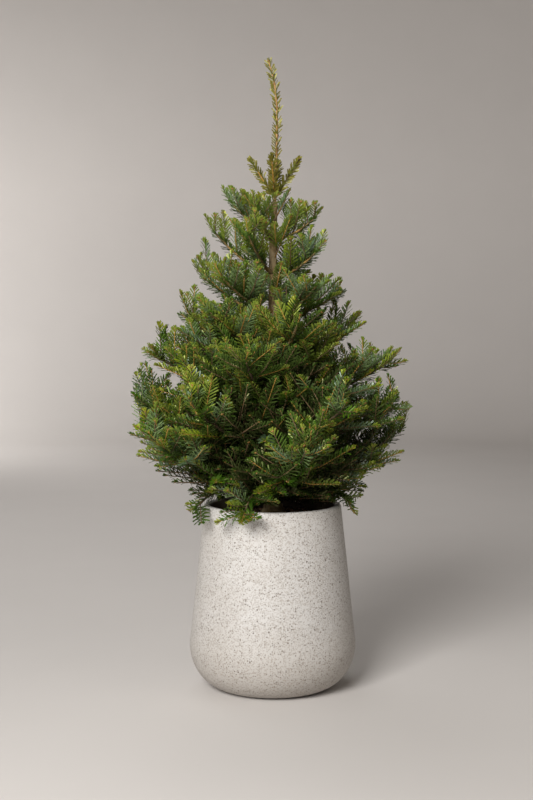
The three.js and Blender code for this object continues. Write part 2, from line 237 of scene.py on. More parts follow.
# How main shoots stand on a limb: degrees from it, spread along it, and a length that is a share of what
# is left of the limb plus a little. The stem ends a share of the way from the last of them to the limb's
# tip, and the limb's own leading shoot overlaps it there
SHOOT_ANGLES = (40, 54)
SHOOT_PLACES = (-0.02, 0.02)
SHOOT_LENGTHS = (0.9, 1.08)
SHOOT_LENGTH_SHARE = 0.72
SHOOT_SHORTEST = 0.030
SHOOT_ROLL = 0.6
SHOOT_CURL = 0.20
STEM_END = 0.1
LEAD_OVERLAP = 0.04

# Shoots between the main ones: how far before the first of those they start, metres from one to the next
# and where they end, at the foot and top of the crown, and three kinds in turn. Risers stand up from the
# limb, spreaders lie level with it and hangers lean down; each has its angles from the limb, lean, and
# lengths, in metres or for spreaders as a share of a main shoot's. At the top of the crown all lean up
# more
EXTRA_START = 0.10
EXTRA_PITCHES = (0.0084, 0.0360)
EXTRA_END = (0.96, 0.86)
RISERS = {"angles": (3, 52), "lean": (0.45, 1.3), "lengths": (0.066, 0.130)}
SPREADERS = {"angles": (22, 62), "lean": (-0.2, 0.75), "lengths": (0.65, 1.05)}
HANGERS = {"angles": (10, 70), "lean": (-0.95, -0.15), "lengths": (0.040, 0.070)}
EXTRA_KINDS = (RISERS, SPREADERS, RISERS, HANGERS)
LOW_KINDS = (RISERS, SPREADERS, HANGERS)
LOW_END_KINDS = (RISERS, SPREADERS)
EXTRA_ROLL = (-0.9, 0.7)
HIGH_LEAN = 0.65
END_PLACES = (0.80, 0.96)
END_SHOOTS = 5

# The lengths at which a shoot is tried in its limb's space, and the places on it that have to be inside
LENGTHS_TRIED = (1, 0.88, 0.76, 0.64, 0.52)
PLACES_TRIED = (0.4, 0.7, 1.0)

# Finer growth: each year's growth ends in a node with a pair of twigs. Nodes are a pitch apart, the
# last one a run from the tip that is longer at the top of the crown, and a twig is a share of what is
# left of its parent plus a little. Lines end a needle's fan short of the length that they stand for
TIP_RUNS = (0.060, 0.098)
TIP_RUN_HEIGHTS = (LEVELS[2].base, LEVELS[-1].base)
NODE_PITCH = 0.042
NODE_SHIFT = (-0.005, 0.004)
FIRST_NODE = 0.013
TWIG_SHARE = 0.80
TWIG_EXTRA = 0.010
TWIG_LENGTHS = (0.75, 1.15)
TWIG_PLACES = (0.08, 0.95)
TWIG_ANGLES = (34, 60)
TWIG_RISE = 0.35
TWIG_LEAN = 0.60
TWIG_ROLL = (-0.8, 0.6)
TWIG_CURL = 0.14
TWIG_RADII = (0.00105, 0.0007)
SHORTEST_TWIG = 0.026
TIP_FAN = 0.009

# Side growth of any order: how far it may bend to a side, its thickness by its parent's, and the bare
# stretch at its foot, in metres and at most as a share
SIDE_CURL = 0.12
SIDE_THICKNESS = 0.6
BARE_FOOT = 0.006
MOST_BARE = 0.3


def mix(low, high, share):
    """The value at a share of the way from low to high."""
    return low + (high - low) * share


def unit(vectors):
    """Vectors at length 1."""
    return vectors / np.maximum(np.linalg.norm(vectors, axis=-1, keepdims=True), 1e-12)


def dot(a, b):
    """The sum of products of two sets of vectors, kept as a column."""
    return np.sum(a * b, axis=-1, keepdims=True)


UPRIGHT = np.array([0.0, 0.0, 1.0])
FULL_TURN = 2 * np.pi


def across(heading, up):
    """Side and upper directions at right angles to a heading: up x heading, then heading x side."""
    side = unit(np.cross(up, heading))
    return side, np.cross(heading, side)


def circle(sides):
    """Directions evenly round the axis, in radians from +X."""
    return np.arange(sides) / sides * 2 * np.pi


def polar(radius, turn, height):
    """Points by their distance from the axis, direction and height."""
    return np.stack(np.broadcast_arrays(radius * np.cos(turn), radius * np.sin(turn), height), axis=-1)


def swung(start, end, angle):
    """Directions turned from start towards end: start * cos(angle) + end * sin(angle)."""
    return start * np.cos(angle)[..., None] + end * np.sin(angle)[..., None]


def in_groups(counts):
    """For groups of these sizes laid end to end, the group of each member and its number there."""
    owner = np.repeat(np.arange(len(counts)), counts)
    return owner, np.arange(len(owner)) - np.repeat(np.cumsum(counts) - counts, counts)


def source_random(seed):
    """The solids' run of numbers from 0 to 1: each state is the last times 1664525 plus 1013904223,
    kept to 32 bits."""
    state = (seed * 7919 + 17) % 2**32
    while True:
        state = (state * 1664525 + 1013904223) % 2**32
        yield state / 2**32


def trunk_share(z):
    """The share of the trunk's height at height z."""
    return (z - TRUNK_FOOT) / (TRUNK_TIP - TRUNK_FOOT)


def trunk_point(z):
    """The trunk's centre at height z: lean * share^4 less a sway of one and a half waves in x, and one
    wave in y."""
    share = np.clip(trunk_share(z), 0, 1)
    x = TRUNK_LEAN * share**4 - TRUNK_SWAY * np.sin(3 * np.pi * share)
    y = TRUNK_SWAY * np.sin(2 * np.pi * share)
    return np.stack([x, y, z], axis=-1)


def trunk_radius(z):
    """An even taper from foot to tip, plus a flare that fades with the square of the height."""
    flare = np.maximum(0, 1 - (z - TRUNK_FOOT) / TRUNK_FLARE_HEIGHT)
    return mix(*TRUNK_RADII, trunk_share(z)) + TRUNK_FLARE * flare**2


def leader_point(z):
    """The leading shoot's centre at height z: a slight bow to the right, then a lean to the left."""
    foot = trunk_point(TRUNK_TIP)
    share = (z - TRUNK_TIP) / (LEADER_TIP - TRUNK_TIP)
    bow = LEADER_BOW * np.sin(LEADER_BOW_SPAN * share)
    leaning = np.maximum(0, (share - LEADER_LEAN_FROM) / (1 - LEADER_LEAN_FROM))
    x = foot[0] + bow - LEADER_LEAN * leaning**LEADER_LEAN_POWER
    return np.stack([x, foot[1] + 0 * share, z], axis=-1)


def crown_share(level_number):
    """How far up the crown a level is, from 0 for the lowest to 1 for the highest."""
    return level_number / (len(LEVELS) - 1)


def planter_radius(z, inset=0.0):
    """The planter's outer radius at height z: a quarter ellipse from foot to belly, then straight in to
    the rim."""
    drop = np.clip((BELLY_HEIGHT - z) / BELLY_HEIGHT, 0, 1)
    corner = mix(FOOT_RADIUS, BELLY_RADIUS, np.sqrt(1 - drop**2))
    side = mix(BELLY_RADIUS, RIM_RADIUS, (z - BELLY_HEIGHT) / (PLANTER_TOP - BELLY_HEIGHT))
    return np.where(z >= BELLY_HEIGHT, side, corner) - inset


@dataclass
class Shoots:
    """Growth lines side by side in arrays. Line i is root + way * t + curl * t^2, with t from 0 to 1."""

    root: np.ndarray
    way: np.ndarray
    curl: np.ndarray
    up: np.ndarray
    foot_radius: np.ndarray
    tip_radius: np.ndarray
    needled_from: np.ndarray
    needle: np.ndarray
    spread: np.ndarray
    tint: np.ndarray
    age: np.ndarray

    def __len__(self):
        return len(self.root)

    def pick(self, chosen):
        """The lines chosen by a mask or a list of numbers."""
        return Shoots(*(getattr(self, field.name)[chosen] for field in fields(self)))

    @staticmethod
    def join(groups):
        """Several sets of lines as one."""
        columns = ([getattr(group, field.name) for group in groups] for field in fields(Shoots))
        return Shoots(*(np.concatenate(column) for column in columns))

    def shares(self, share):
        """A share for each line, as a column."""
        return np.broadcast_to(share, len(self))[:, None]

    def at(self, share):
        """The point of each line at its share."""
        share = self.shares(share)
        return self.root + self.way * share + self.curl * share**2

    def heading(self, share):
        """The direction of growth of each line at its share."""
        return unit(self.way + 2 * self.curl * self.shares(share))

    def length(self):
        """The straight distance from foot to tip of each line."""
        return np.linalg.norm(self.way + self.curl, axis=1)

    def radius(self, share):
        """The radius of each line at its share, by an even taper."""
        return mix(self.foot_radius, self.tip_radius, share)

    def shortened(self, share):
        """The lines at a share of their length, with the same curl for it."""
        share = self.shares(share)
        return replace(self, way=self.way * share, curl=self.curl * share)

    def part(self, start, end):
        """The same lines from one share to another, as lines of their own."""
        span = end - start
        way = (self.way + 2 * self.curl * start) * span
        return replace(self, root=self.at(start), way=way, curl=self.curl * span**2)


# What a growth line is, by its age, and what it has where nothing else is given
TWIG, SHOOT, STEM, LEADER = range(4)
PLAIN_SHOOT = {
    "curl": (0.0, 0.0, 0.0),
    "up": (0.0, 0.0, 1.0),
    "needled_from": 0.0,
    "needle": 0.0,
    "spread": 0.0,
    "tint": 0,
    "age": SHOOT,
}


def new_shoots(root, way, **values):
    """Growth lines by their roots and ways. The other values are given for each line, or once for all
    of them, and those that aren't given are the plain ones."""
    columns = {name: np.asarray(value) for name, value in {**PLAIN_SHOOT, **values}.items()}
    for name, value in columns.items():
        shape = (len(root), 3) if name in ("curl", "up") else len(root)
        columns[name] = np.broadcast_to(value, shape)
    return Shoots(root=root, way=way, **columns)


def side_shoots(parents, place, angle, lean, roll, length, curl, random):
    """Lines that leave their parents at a place: turned by angle to the left, or to the right where it
    is negative, leaning by lean towards the upper side, and curling up by a share of their length and a
    little to a side. roll turns a shoot's upper side about its own line."""
    along = parents.heading(place)
    side, over = across(along, UPRIGHT)
    heading = unit(swung(along, side, angle) + over * lean[:, None])
    rolled = swung(UPRIGHT, np.cross(heading, UPRIGHT), roll)
    up = rolled + heading * dot(heading, UPRIGHT) * (1 - np.cos(roll)[:, None])
    beside, lifted = across(heading, up)
    bend = lifted * curl + beside * random.uniform(-SIDE_CURL, SIDE_CURL, (len(parents), 1))
    return replace(
        parents,
        root=parents.at(place),
        way=heading * length[:, None],
        curl=bend * length[:, None],
        up=up,
        foot_radius=np.maximum(parents.radius(place) * SIDE_THICKNESS, TWIG_RADII[0]),
        tip_radius=np.full(len(parents), TWIG_RADII[1]),
        needled_from=np.minimum(BARE_FOOT / np.maximum(length, SHORTEST_TWIG), MOST_BARE),
    )


def level_height(level, distance, cosine):
    """Height of a level's limbs: base + (rise - slant * cosine) * t - 4 * sag * t * (1 - t), with t the
    distance over reach."""
    t = distance / level.reach
    return level.base + (level.rise - level.slant * cosine) * t - 4 * level.sag * t * (1 - t)


@dataclass
class Limb:
    """One limb: its level, its number there, its line from the trunk's axis, its run of numbers, and
    the half angles to its neighbours on the left and right."""

    level_number: int
    number: int
    line: Shoots
    reach: float
    draws: object
    half_left: float
    half_right: float

    @property
    def level(self):
        """The level that the limb stands in."""
        return LEVELS[self.level_number]

    def ceiling(self, distance, cosine):
        """The upper limit of the limb's space: half way to the level above, and under the line from its
        own level's tips to those above."""
        level, number = self.level, self.level_number
        above = LEVELS[number + 1] if number + 1 < len(LEVELS) else TOP_LEVEL
        half_way = (level_height(level, distance, cosine) + level_height(above, distance, cosine)) / 2
        top = half_way + mix(*RISES_BETWEEN, crown_share(number))
        if above.reach < level.reach:
            to_right = (1 + cosine) / 2
            edge = self.reach - mix(*level.trims, to_right)
            inwards = np.maximum((edge - distance) / (level.reach - above.reach), 0)
            power = PROFILE_POWER[0] + PROFILE_POWER[1] * cosine
            tips = level.base + level.rise - level.slant * cosine - mix(*level.drops, to_right)
            tip_rise = above.base + above.rise - level.base - level.rise
            top = np.minimum(top, tips + tip_rise * inwards**power)
        return top

    def underside(self, distance, cosine):
        """The lower limit: half way to the level below and above the crown's hem, or for the lowest
        level its own depth."""
        own = level_height(self.level, distance, cosine)
        if self.level_number == 0:
            return own - SKIRT_DEPTH
        below = level_height(LEVELS[self.level_number - 1], distance, cosine)
        hem = HEM["height"] + HEM["slope"] * (distance - HEM["distance"])
        return np.maximum((own + below) / 2, hem + HANG_BETWEEN) - HANG_BETWEEN

    def holds(self, points):
        """True where points are in the limb's space: between its upper and lower limit, within its
        reach and the half-way directions to its neighbours, and clear of trunk and planter."""
        x, y, z = points.T
        distance = np.hypot(x, y)
        cosine = x / np.maximum(distance, MARGIN)
        turn = self.level.turns[self.number]
        away = (np.degrees(np.arctan2(y, x)) - turn + 900) % 360 - 180
        to_edge = np.clip(np.where(away > 0, self.half_left, self.half_right) - np.abs(away), -90, 90)
        cut_back = 0 if self.level_number else SKIRT_TRIM * np.abs(cosine)
        beside_pot = (z < PLANTER_TOP + POT_MARGIN) & (distance < planter_radius(z) + POT_MARGIN)
        return (
            (z < self.ceiling(distance, cosine) - MARGIN)
            & (z > np.maximum(self.underside(distance, cosine), LOWEST_GROWTH))
            & (distance < self.reach - cut_back)
            & (distance * np.sin(np.radians(to_edge)) > MARGIN)
            & (distance > trunk_radius(z) + TRUNK_MARGIN)
            & ~beside_pot
        )


def make_limb(level_number, number):
    """One limb by the solids' rule: reach, rise and bend from its first three draws, its line linear in
    its bend, and its root 4 mm above or below its neighbours'."""
    level = LEVELS[level_number]
    draws = source_random(level_number * 100 + number)
    turn = math.radians(level.turns[number])
    outwards = polar(1.0, turn, 0.0)
    sideways = np.cross(UPRIGHT, outwards)
    reach = level.reach * mix(*LIMB_REACH, next(draws))
    rise = level.rise - level.slant * math.cos(turn) + mix(*LIMB_RISE, next(draws))
    bend = mix(*LIMB_BEND, next(draws))
    lift = LIMB_STAGGER if number % 2 else -LIMB_STAGGER
    root = trunk_point(np.float64(level.base)) + [0, 0, lift]
    way = outwards * reach - [root[0], root[1], 0] + UPRIGHT * (rise - lift - 4 * level.sag)
    curl = sideways * reach * bend + UPRIGHT * 4 * level.sag
    radii = {"foot_radius": level.stem, "tip_radius": level.stem * LIMB_TAPER}
    line = new_shoots(root[None], way[None], curl=curl, age=STEM, **radii)
    gaps = [(other - level.turns[number]) % 360 for other in level.turns]
    gaps = [gap for gap in gaps if gap > 0]
    return Limb(level_number, number, line, reach, draws, min(gaps) / 2, (360 - max(gaps)) / 2)


def fitted(shoots, limb):
    """Each shoot at the longest of a few lengths that keeps its line in the limb's space. Those that
    leave it at every length are left out."""
    kept = np.zeros(len(shoots))
    for share in LENGTHS_TRIED:
        tried = shoots.shortened(share)
        good = np.all([limb.holds(tried.at(place)) for place in PLACES_TRIED], axis=0)
        kept = np.where((kept == 0) & good, share, kept)
    long_enough = kept * shoots.length() > SHORTEST_TWIG
    return shoots.shortened(kept).pick(long_enough)


def main_length(limb, place):
    """The length of a main shoot at a place on its limb, before it is varied."""
    return limb.reach * (1 - place) * SHOOT_LENGTH_SHARE + SHOOT_SHORTEST


def main_shoots(limb):
    """Place, angle, lean, roll and length of the limb's main shoots, by the same draws as the solids',
    and last those of its own leading shoot."""
    level, draws = limb.level, limb.draws
    count, first, last = level.shoots
    rows = []
    for i in range(count):
        sign = 1 if i % 2 else -1
        place = mix(first, last, i / (count - 1)) + mix(*SHOOT_PLACES, next(draws))
        angle = sign * math.radians(mix(*SHOOT_ANGLES, next(draws)))
        lean = mix(*level.tilt, next(draws))
        length = main_length(limb, place) * mix(*SHOOT_LENGTHS, next(draws))
        roll = sign * mix(-SHOOT_ROLL, SHOOT_ROLL / 2, next(draws))
        rows.append((place, angle, lean, roll, length))
    lead_from = mix(last, 1, STEM_END) - LEAD_OVERLAP
    lead_length = float(np.linalg.norm(limb.line.at(1) - limb.line.at(lead_from)))
    rows.append((lead_from, 0.0, 0.0, mix(-SHOOT_ROLL, SHOOT_ROLL, next(draws)), lead_length))
    return rows


def extra_shoots(limb, random):
    """The same five values of the shoots between the main ones, of each kind in turn."""
    height = crown_share(limb.level_number)
    start, end = limb.level.shoots[1] - EXTRA_START, mix(*EXTRA_END, height)
    places = np.arange(start, end, mix(*EXTRA_PITCHES, height**2) / limb.reach)
    if limb.level_number < FULL_LEVELS:
        places = np.concatenate([places, np.linspace(*END_PLACES, END_SHOOTS)])
    is_low = limb.level_number < LOW_LEVELS
    kinds = LOW_KINDS if is_low else EXTRA_KINDS
    rows = []
    for i, middle in enumerate(places):
        if is_low and middle > END_PLACES[0]:
            kinds = LOW_END_KINDS
        kind = kinds[i % len(kinds)]
        sign = random.choice([-1, 1])
        place = middle + random.uniform(*SHOOT_PLACES)
        angle = sign * math.radians(random.uniform(*kind["angles"]))
        lean = random.uniform(*kind["lean"]) + HIGH_LEAN * height
        length = random.uniform(*kind["lengths"])
        if kind is SPREADERS:
            length *= main_length(limb, place)
        rows.append((place, angle, lean, sign * random.uniform(*EXTRA_ROLL), length))
    return rows


def shoots_on(limb):
    """All the shoots that stand on a limb, as lines."""
    random = np.random.default_rng(SEEDS["extra_shoots"] + limb.level_number * 10 + limb.number)
    rows = main_shoots(limb) + extra_shoots(limb, random)
    place, angle, lean, roll, length = np.array(rows).T
    parents = limb.line.pick(np.zeros(len(rows), int))
    shoots = side_shoots(parents, place, angle, lean, roll, length - TIP_FAN, SHOOT_CURL, random)
    return replace(shoots, age=np.full(len(rows), SHOOT))


def twigs_on(parents, level, random):
    """A pair of twigs at each node of their parents, to left and right. A twig is a share of what is
    left of its parent, plus a little, and leans up more in the higher levels."""
    length = parents.length()
    tip_run = np.interp(level.base, TIP_RUN_HEIGHTS, TIP_RUNS)
    nodes = np.floor((length - tip_run - FIRST_NODE) / NODE_PITCH + 1).clip(0).astype(int)
    owner, number = in_groups(nodes * 2)
    count, run = len(owner), length[owner]
    along = run - tip_run - (number // 2) * NODE_PITCH + random.uniform(*NODE_SHIFT, count)
    place = np.clip(along / run, *TWIG_PLACES)
    sign = np.where(number % 2, 1, -1)
    angle = sign * np.radians(random.uniform(*TWIG_ANGLES, count))
    lean = sum(level.tilt) / 2 + TWIG_RISE + random.uniform(-TWIG_LEAN, TWIG_LEAN, count)
    roll = sign * random.uniform(*TWIG_ROLL, count)
    full = ((1 - place) * run * TWIG_SHARE + TWIG_EXTRA) * random.uniform(*TWIG_LENGTHS, count)
    twigs = side_shoots(parents.pick(owner), place, angle, lean, roll, full, TWIG_CURL, random)
    return replace(twigs, age=np.full(count, TWIG))


# The needles' tints in their order. The first five are dealt out to shoots; the rest are those of shoot
# tips, of the leading shoot and of the shaded growth inside the crown. The needles near a shoot's tip
# have the tint that END_TINTS gives for its own
DEEP, MID, OLIVE, FRESH, BLUISH, TIP, YOUNG, SHADED = range(8)
END_TINTS = np.array([MID, TIP, TIP, TIP, FRESH, TIP, YOUNG, DEEP])
FRESH_TIP = 0.013
FRESH_TIP_SHARES = (0.5, 1.3)

# Share of deep, middle, olive, fresh and bluish shoots at the foot of the crown and at its top, how much
# it differs from limb to limb, and the share of twigs that have a tint of their own
# More deep green at the crown's foot stands partly for older needles and partly for painted shade
TINTS_LOW = np.array([0.38, 0.22, 0.15, 0.02, 0.23])
# Bluish shoots stand partly for a waxy bloom and partly for a painted sheen on sprays facing the light
TINTS_HIGH = np.array([0.01, 0.05, 0.17, 0.44, 0.33])
TINT_WEIGHTS = (0.3, 1.7)
OWN_TINTS = 0.42

# The needles' lengths at the foot of the crown and at its top, how much shorter they are on a shoot under
# a full length, and how far they spread from their shoot's plane, in shares of their ranks
NEEDLES_LOW = np.array([0.0170, 0.0200])
NEEDLES_HIGH = np.array([0.0155, 0.0185])
SHORT_SHOOT = {"full": 0.035, "least": 0.7}
SPREADS = (0.7, 1.15)
ALL_ROUND = 2.0

# How much a level's shaded share varies, and where on a shoot it is judged: on a limb's, and on the
# trunk's in the low and in the other levels
SHADED_VARIES = 0.1
JUDGED_ON_LIMB = 0.78
JUDGED_ON_TRUNK = (0.65, 1.0)


def dealt(shoots, level_number, weights, random, share=1.0, judged_at=JUDGED_ON_LIMB):
    """The shoots with a new tint for a share of them, by weight, and the shaded tint where the place at
    which they are judged is inside the crown."""
    tint = random.choice(len(weights), size=len(shoots), p=weights / weights.sum())
    tint = np.where(random.uniform(0, 1, len(shoots)) < share, tint, shoots.tint)
    x, y, z = shoots.at(judged_at).T
    tips = [level.base + level.rise for level in LEVELS]
    half_width = np.interp(z, tips, [level.reach for level in LEVELS])
    varied = random.uniform(-SHADED_VARIES, SHADED_VARIES, len(shoots))
    inside = np.hypot(x, y) < half_width * (LEVELS[level_number].shaded + varied)
    return replace(shoots, tint=np.where(inside, SHADED, tint))


def level_weights(level_number, random):
    """How often each tint is dealt out on a limb: fresher in the higher levels, and a little its own."""
    weights = mix(TINTS_LOW, TINTS_HIGH, crown_share(level_number))
    return weights * random.uniform(*TINT_WEIGHTS, len(TINTS_LOW))


def finished(shoots, level_number, random):
    """The shoots with their needles' lengths and spread."""
    needle = random.uniform(*mix(NEEDLES_LOW, NEEDLES_HIGH, crown_share(level_number)), len(shoots))
    needle = needle * np.clip(shoots.length() / SHORT_SHOOT["full"], SHORT_SHOOT["least"], 1)
    spread = np.where(shoots.age == STEM, ALL_ROUND, random.uniform(*SPREADS, len(shoots)))
    return replace(shoots, needle=needle, spread=spread)


# Shoots that grow from the trunk between the limbs, in stretches of it: heights, metres from one to the
# next, the first one's direction and the sector that they fill in degrees, their share of the crown's
# half width, and their slopes in degrees at the lowest and highest. Their twigs are the middle level's
TRUNK_SHOOTS = (
    {"heights": (0.351, 0.392), "pitch": 0.0008, "turns": (0, 360), "share": 0.62, "slopes": (-13, 8)},
    {"heights": (0.343, 0.350), "pitch": 0.0006, "turns": (296, 90), "share": 0.72, "slopes": (0, 2)},
    {"heights": (0.402, 0.610), "pitch": 0.0100, "turns": (0, 360), "share": 0.70, "slopes": (10, 44)},
    {"heights": (0.455, 0.580), "pitch": 0.0130, "turns": (282, 62), "share": 0.84, "slopes": (4, 30)},
    {"heights": (0.450, 0.530), "pitch": 0.0120, "turns": (252, 40), "share": 0.88, "slopes": (4, 20)},
    {"heights": (0.460, 0.640), "pitch": 0.0110, "turns": (186, 44), "share": 0.88, "slopes": (10, 26)},
    {"heights": (0.360, 0.400), "pitch": 0.0032, "turns": (150, 80), "share": 0.76, "slopes": (4, 17)},
    {"heights": (0.650, 0.860), "pitch": 0.0250, "turns": (0, 360), "share": 0.70, "slopes": (38, 60)},
)
GOLDEN_TURN = 137.5
TURN_VARIES = 20
SLOPE_VARIES = 9
TRUNK_SHOOT_LENGTHS = (0.75, 1.1)
TRUNK_SHOOT_CURL = 0.08
TRUNK_SHOOT_RADIUS = 0.0016
TRUNK_TWIGS_AS = LEVELS[3]
CLEAR_PLACES = (0.6, 1.0)


def trunk_shoots(stretch, seed):
    """Shoots from a stretch of the trunk, each a golden angle on from the last, with their twigs, and
    the level that each belongs to."""
    random = np.random.default_rng(seed)
    heights = np.arange(*stretch["heights"], stretch["pitch"])
    count = len(heights)
    bases = np.array([level.base for level in LEVELS])
    reaches = np.array([level.reach for level in LEVELS])
    share = (heights - heights[0]) / (heights[-1] - heights[0])
    first_turn, sector = stretch["turns"]
    turn = np.arange(count) * GOLDEN_TURN * sector / 360 % sector
    turn = np.radians(first_turn + turn + random.uniform(-TURN_VARIES, TURN_VARIES, count))
    slope = mix(*stretch["slopes"], share) + random.uniform(-SLOPE_VARIES, SLOPE_VARIES, count)
    slope = np.radians(slope)
    length = np.interp(heights, bases, reaches) * stretch["share"]
    length = length * random.uniform(*TRUNK_SHOOT_LENGTHS, count)
    shoots = new_shoots(
        trunk_point(heights),
        polar(np.cos(slope), turn, np.sin(slope)) * length[:, None],
        curl=UPRIGHT * (TRUNK_SHOOT_CURL * share * length)[:, None],
        foot_radius=TRUNK_SHOOT_RADIUS,
        tip_radius=TWIG_RADII[1],
        needled_from=MOST_BARE,
    )
    growth = Shoots.join([shoots, twigs_on(shoots, TRUNK_TWIGS_AS, random)])
    clear = growth.length() > SHORTEST_TWIG
    for place in CLEAR_PLACES:
        x, y, z = growth.at(place).T
        above_rim = z > PLANTER_TOP + RIM_MARGIN
        beside = (z > LOWEST_GROWTH) & (np.hypot(x, y) > planter_radius(z) + POT_MARGIN)
        clear &= above_rim | beside
    growth = growth.pick(clear)
    return growth, np.clip(np.searchsorted(bases, growth.at(0.5)[:, 2]) - 1, 0, len(LEVELS) - 1)


# The fullest levels are made in two pieces, the first with this many limbs
FIRST_LIMBS = {"low": 3, "broad": 3, "middle": 3}


@dataclass
class Crown:
    """All the growth: limb stems, the needled shoots of each piece by its name, and the solids that
    each piece stands for."""

    stems: Shoots
    pieces: dict
    solids: dict


def grow_limb(limb):
    """A limb's stem and its needled lines: the stem's outer part, its shoots, twigs and twiglets."""
    number = limb.level_number
    random = np.random.default_rng(number * 100 + limb.number)
    stem_end = mix(limb.level.shoots[2], 1, STEM_END)
    stem = replace(limb.line.part(0, stem_end), tip_radius=limb.line.radius(stem_end))
    outer = replace(stem.part(NEEDLED_STEM, 1.0), foot_radius=stem.radius(NEEDLED_STEM))
    weights = level_weights(number, random)
    shoots = dealt(fitted(shoots_on(limb), limb), number, weights, random)
    twigs = fitted(twigs_on(shoots, limb.level, random), limb)
    twigs = dealt(twigs, number, weights, random, OWN_TINTS)
    twiglets = fitted(twigs_on(twigs, limb.level, random), limb)
    return stem, finished(Shoots.join([outer, shoots, twigs, twiglets]), number, random)


def grow_top():
    """The leading shoot in short stretches, and the ring of small shoots round its foot."""
    common = {"up": (0.0, -1.0, 0.0), "spread": ALL_ROUND, "tint": YOUNG}
    heights = np.linspace(TRUNK_TIP, LEADER_TIP - TIP_FAN, LEADER_STRETCHES + 1)
    points = leader_point(heights)
    radii = mix(*LEADER_RADII, np.linspace(0, 1, len(heights)))
    leader = new_shoots(
        points[:-1],
        np.diff(points, axis=0),
        foot_radius=radii[:-1],
        tip_radius=radii[1:],
        needled_from=[LEADER_BARE] + [TOP_BARE] * (LEADER_STRETCHES - 1),
        needle=LEADER_NEEDLE,
        age=LEADER,
        **common,
    )
    count = len(RING_TURNS)
    draws = np.array([next(source_random(SEEDS["ring"] + i)) for i in range(count)])
    reach = RING_REACH * mix(*RING_REACHES, draws)
    ring = new_shoots(
        np.tile(leader_point(np.float64(TRUNK_TIP + RING_ABOVE_TRUNK)), (count, 1)),
        polar(reach, np.radians(RING_TURNS), RING_RISE) * RING_LENGTH,
        foot_radius=RING_RADII[0],
        tip_radius=RING_RADII[1],
        needled_from=TOP_BARE,
        needle=RING_NEEDLE,
        age=TWIG,
        **common,
    )
    return Shoots.join([leader, ring])


@functools.cache
def grow_crown():
    """The whole crown, limb by limb. It is the same on every call."""
    stems, pieces, solids = [], {}, {}
    seed = SEEDS["trunk_shoots"]
    groups = [trunk_shoots(stretch, seed + i) for i, stretch in enumerate(TRUNK_SHOOTS)]
    inner = Shoots.join([shoots for shoots, _ in groups])
    inner_level = np.concatenate([level for _, level in groups])
    random = np.random.default_rng(SEEDS["between_limbs"])
    for level_number, level in enumerate(LEVELS):
        grown = [grow_limb(make_limb(level_number, number)) for number in range(len(level.turns))]
        stems.extend(stem for stem, _ in grown)
        weights = level_weights(level_number, random)
        judged_at = JUDGED_ON_TRUNK[0 if level_number < LOW_LEVELS else 1]
        between = inner.pick(inner_level == level_number)
        between = dealt(between, level_number, weights, random, judged_at=judged_at)
        between = finished(between, level_number, random)
        first = FIRST_LIMBS.get(level.name, len(grown))
        in_first = (np.arange(len(between)) % len(grown) == 0) | (first == len(grown))
        for part, limbs, own in (
            ("", range(first), between.pick(in_first)),
            ("_2", range(first, len(grown)), between.pick(~in_first)),
        ):
            if limbs:
                pieces[level.name + part] = Shoots.join([own] + [grown[number][1] for number in limbs])
                solids[level.name + part] = [f"foliage_{level.name}_{number + 1}" for number in limbs]
    pieces["top"] = grow_top()
    solids["top"] = ["top_shoots"]
    return Crown(Shoots.join(stems), pieces, solids)


# A ripple is half as high at this many waves round a stem, or at this many radians for each metre along
# it, and the sum of many seldom passes this peak
RIPPLE_ROUND = 4
RIPPLE_ALONG = 400
RIPPLE_PEAK = 1.6


def ripples(turn, height, seed, waves, finest):
    """A sum of waves round and along a stem, from -1 to 1: each is a sine of a whole number of turns
    plus a share of the height, at a seeded phase, and finer ones are lower."""
    random = np.random.default_rng(seed)
    total = 0.0
    weight = 0.0
    for _ in range(waves):
        round_count = random.integers(0, finest[0] + 1)
        along_rate = random.uniform(-finest[1], finest[1])
        low = 1 / (1 + round_count / RIPPLE_ROUND + abs(along_rate) / RIPPLE_ALONG)
        total = total + low * np.sin(round_count * turn + along_rate * height + random.uniform(0, 7))
        weight += low * low
    return total / math.sqrt(weight) / RIPPLE_PEAK


def closed_skins(rings, foot, tip):
    """Closed skins over rings of points, each counter-clockwise seen from its tip. rings has the shape
    skins x rings x sides x 3; foot and tip are the points that close the ends. The result is each
    skin's vertices, and the faces of one: two fans of triangles, and rows of quads."""
    count, rows, sides = rings.shape[:3]
    around = rings.reshape(count, rows * sides, 3)
    vertices = np.concatenate([foot[:, None], around, tip[:, None]], axis=1)
    corner = np.arange(sides)
    beside = (corner + 1) % sides
    top = 1 + sides * (rows - 1)
    foot_fan = np.stack([0 * corner, 1 + beside, 1 + corner], axis=-1)
    tip_fan = np.stack([top + corner, top + beside, np.full(sides, top + sides)], axis=-1)
    row = 1 + sides * np.arange(rows - 1)[:, None]
    quads = np.stack([row + corner, row + beside, row + sides + beside, row + sides + corner], axis=-1)
    return vertices, [np.concatenate([foot_fan, tip_fan]), quads.reshape(-1, 4)]


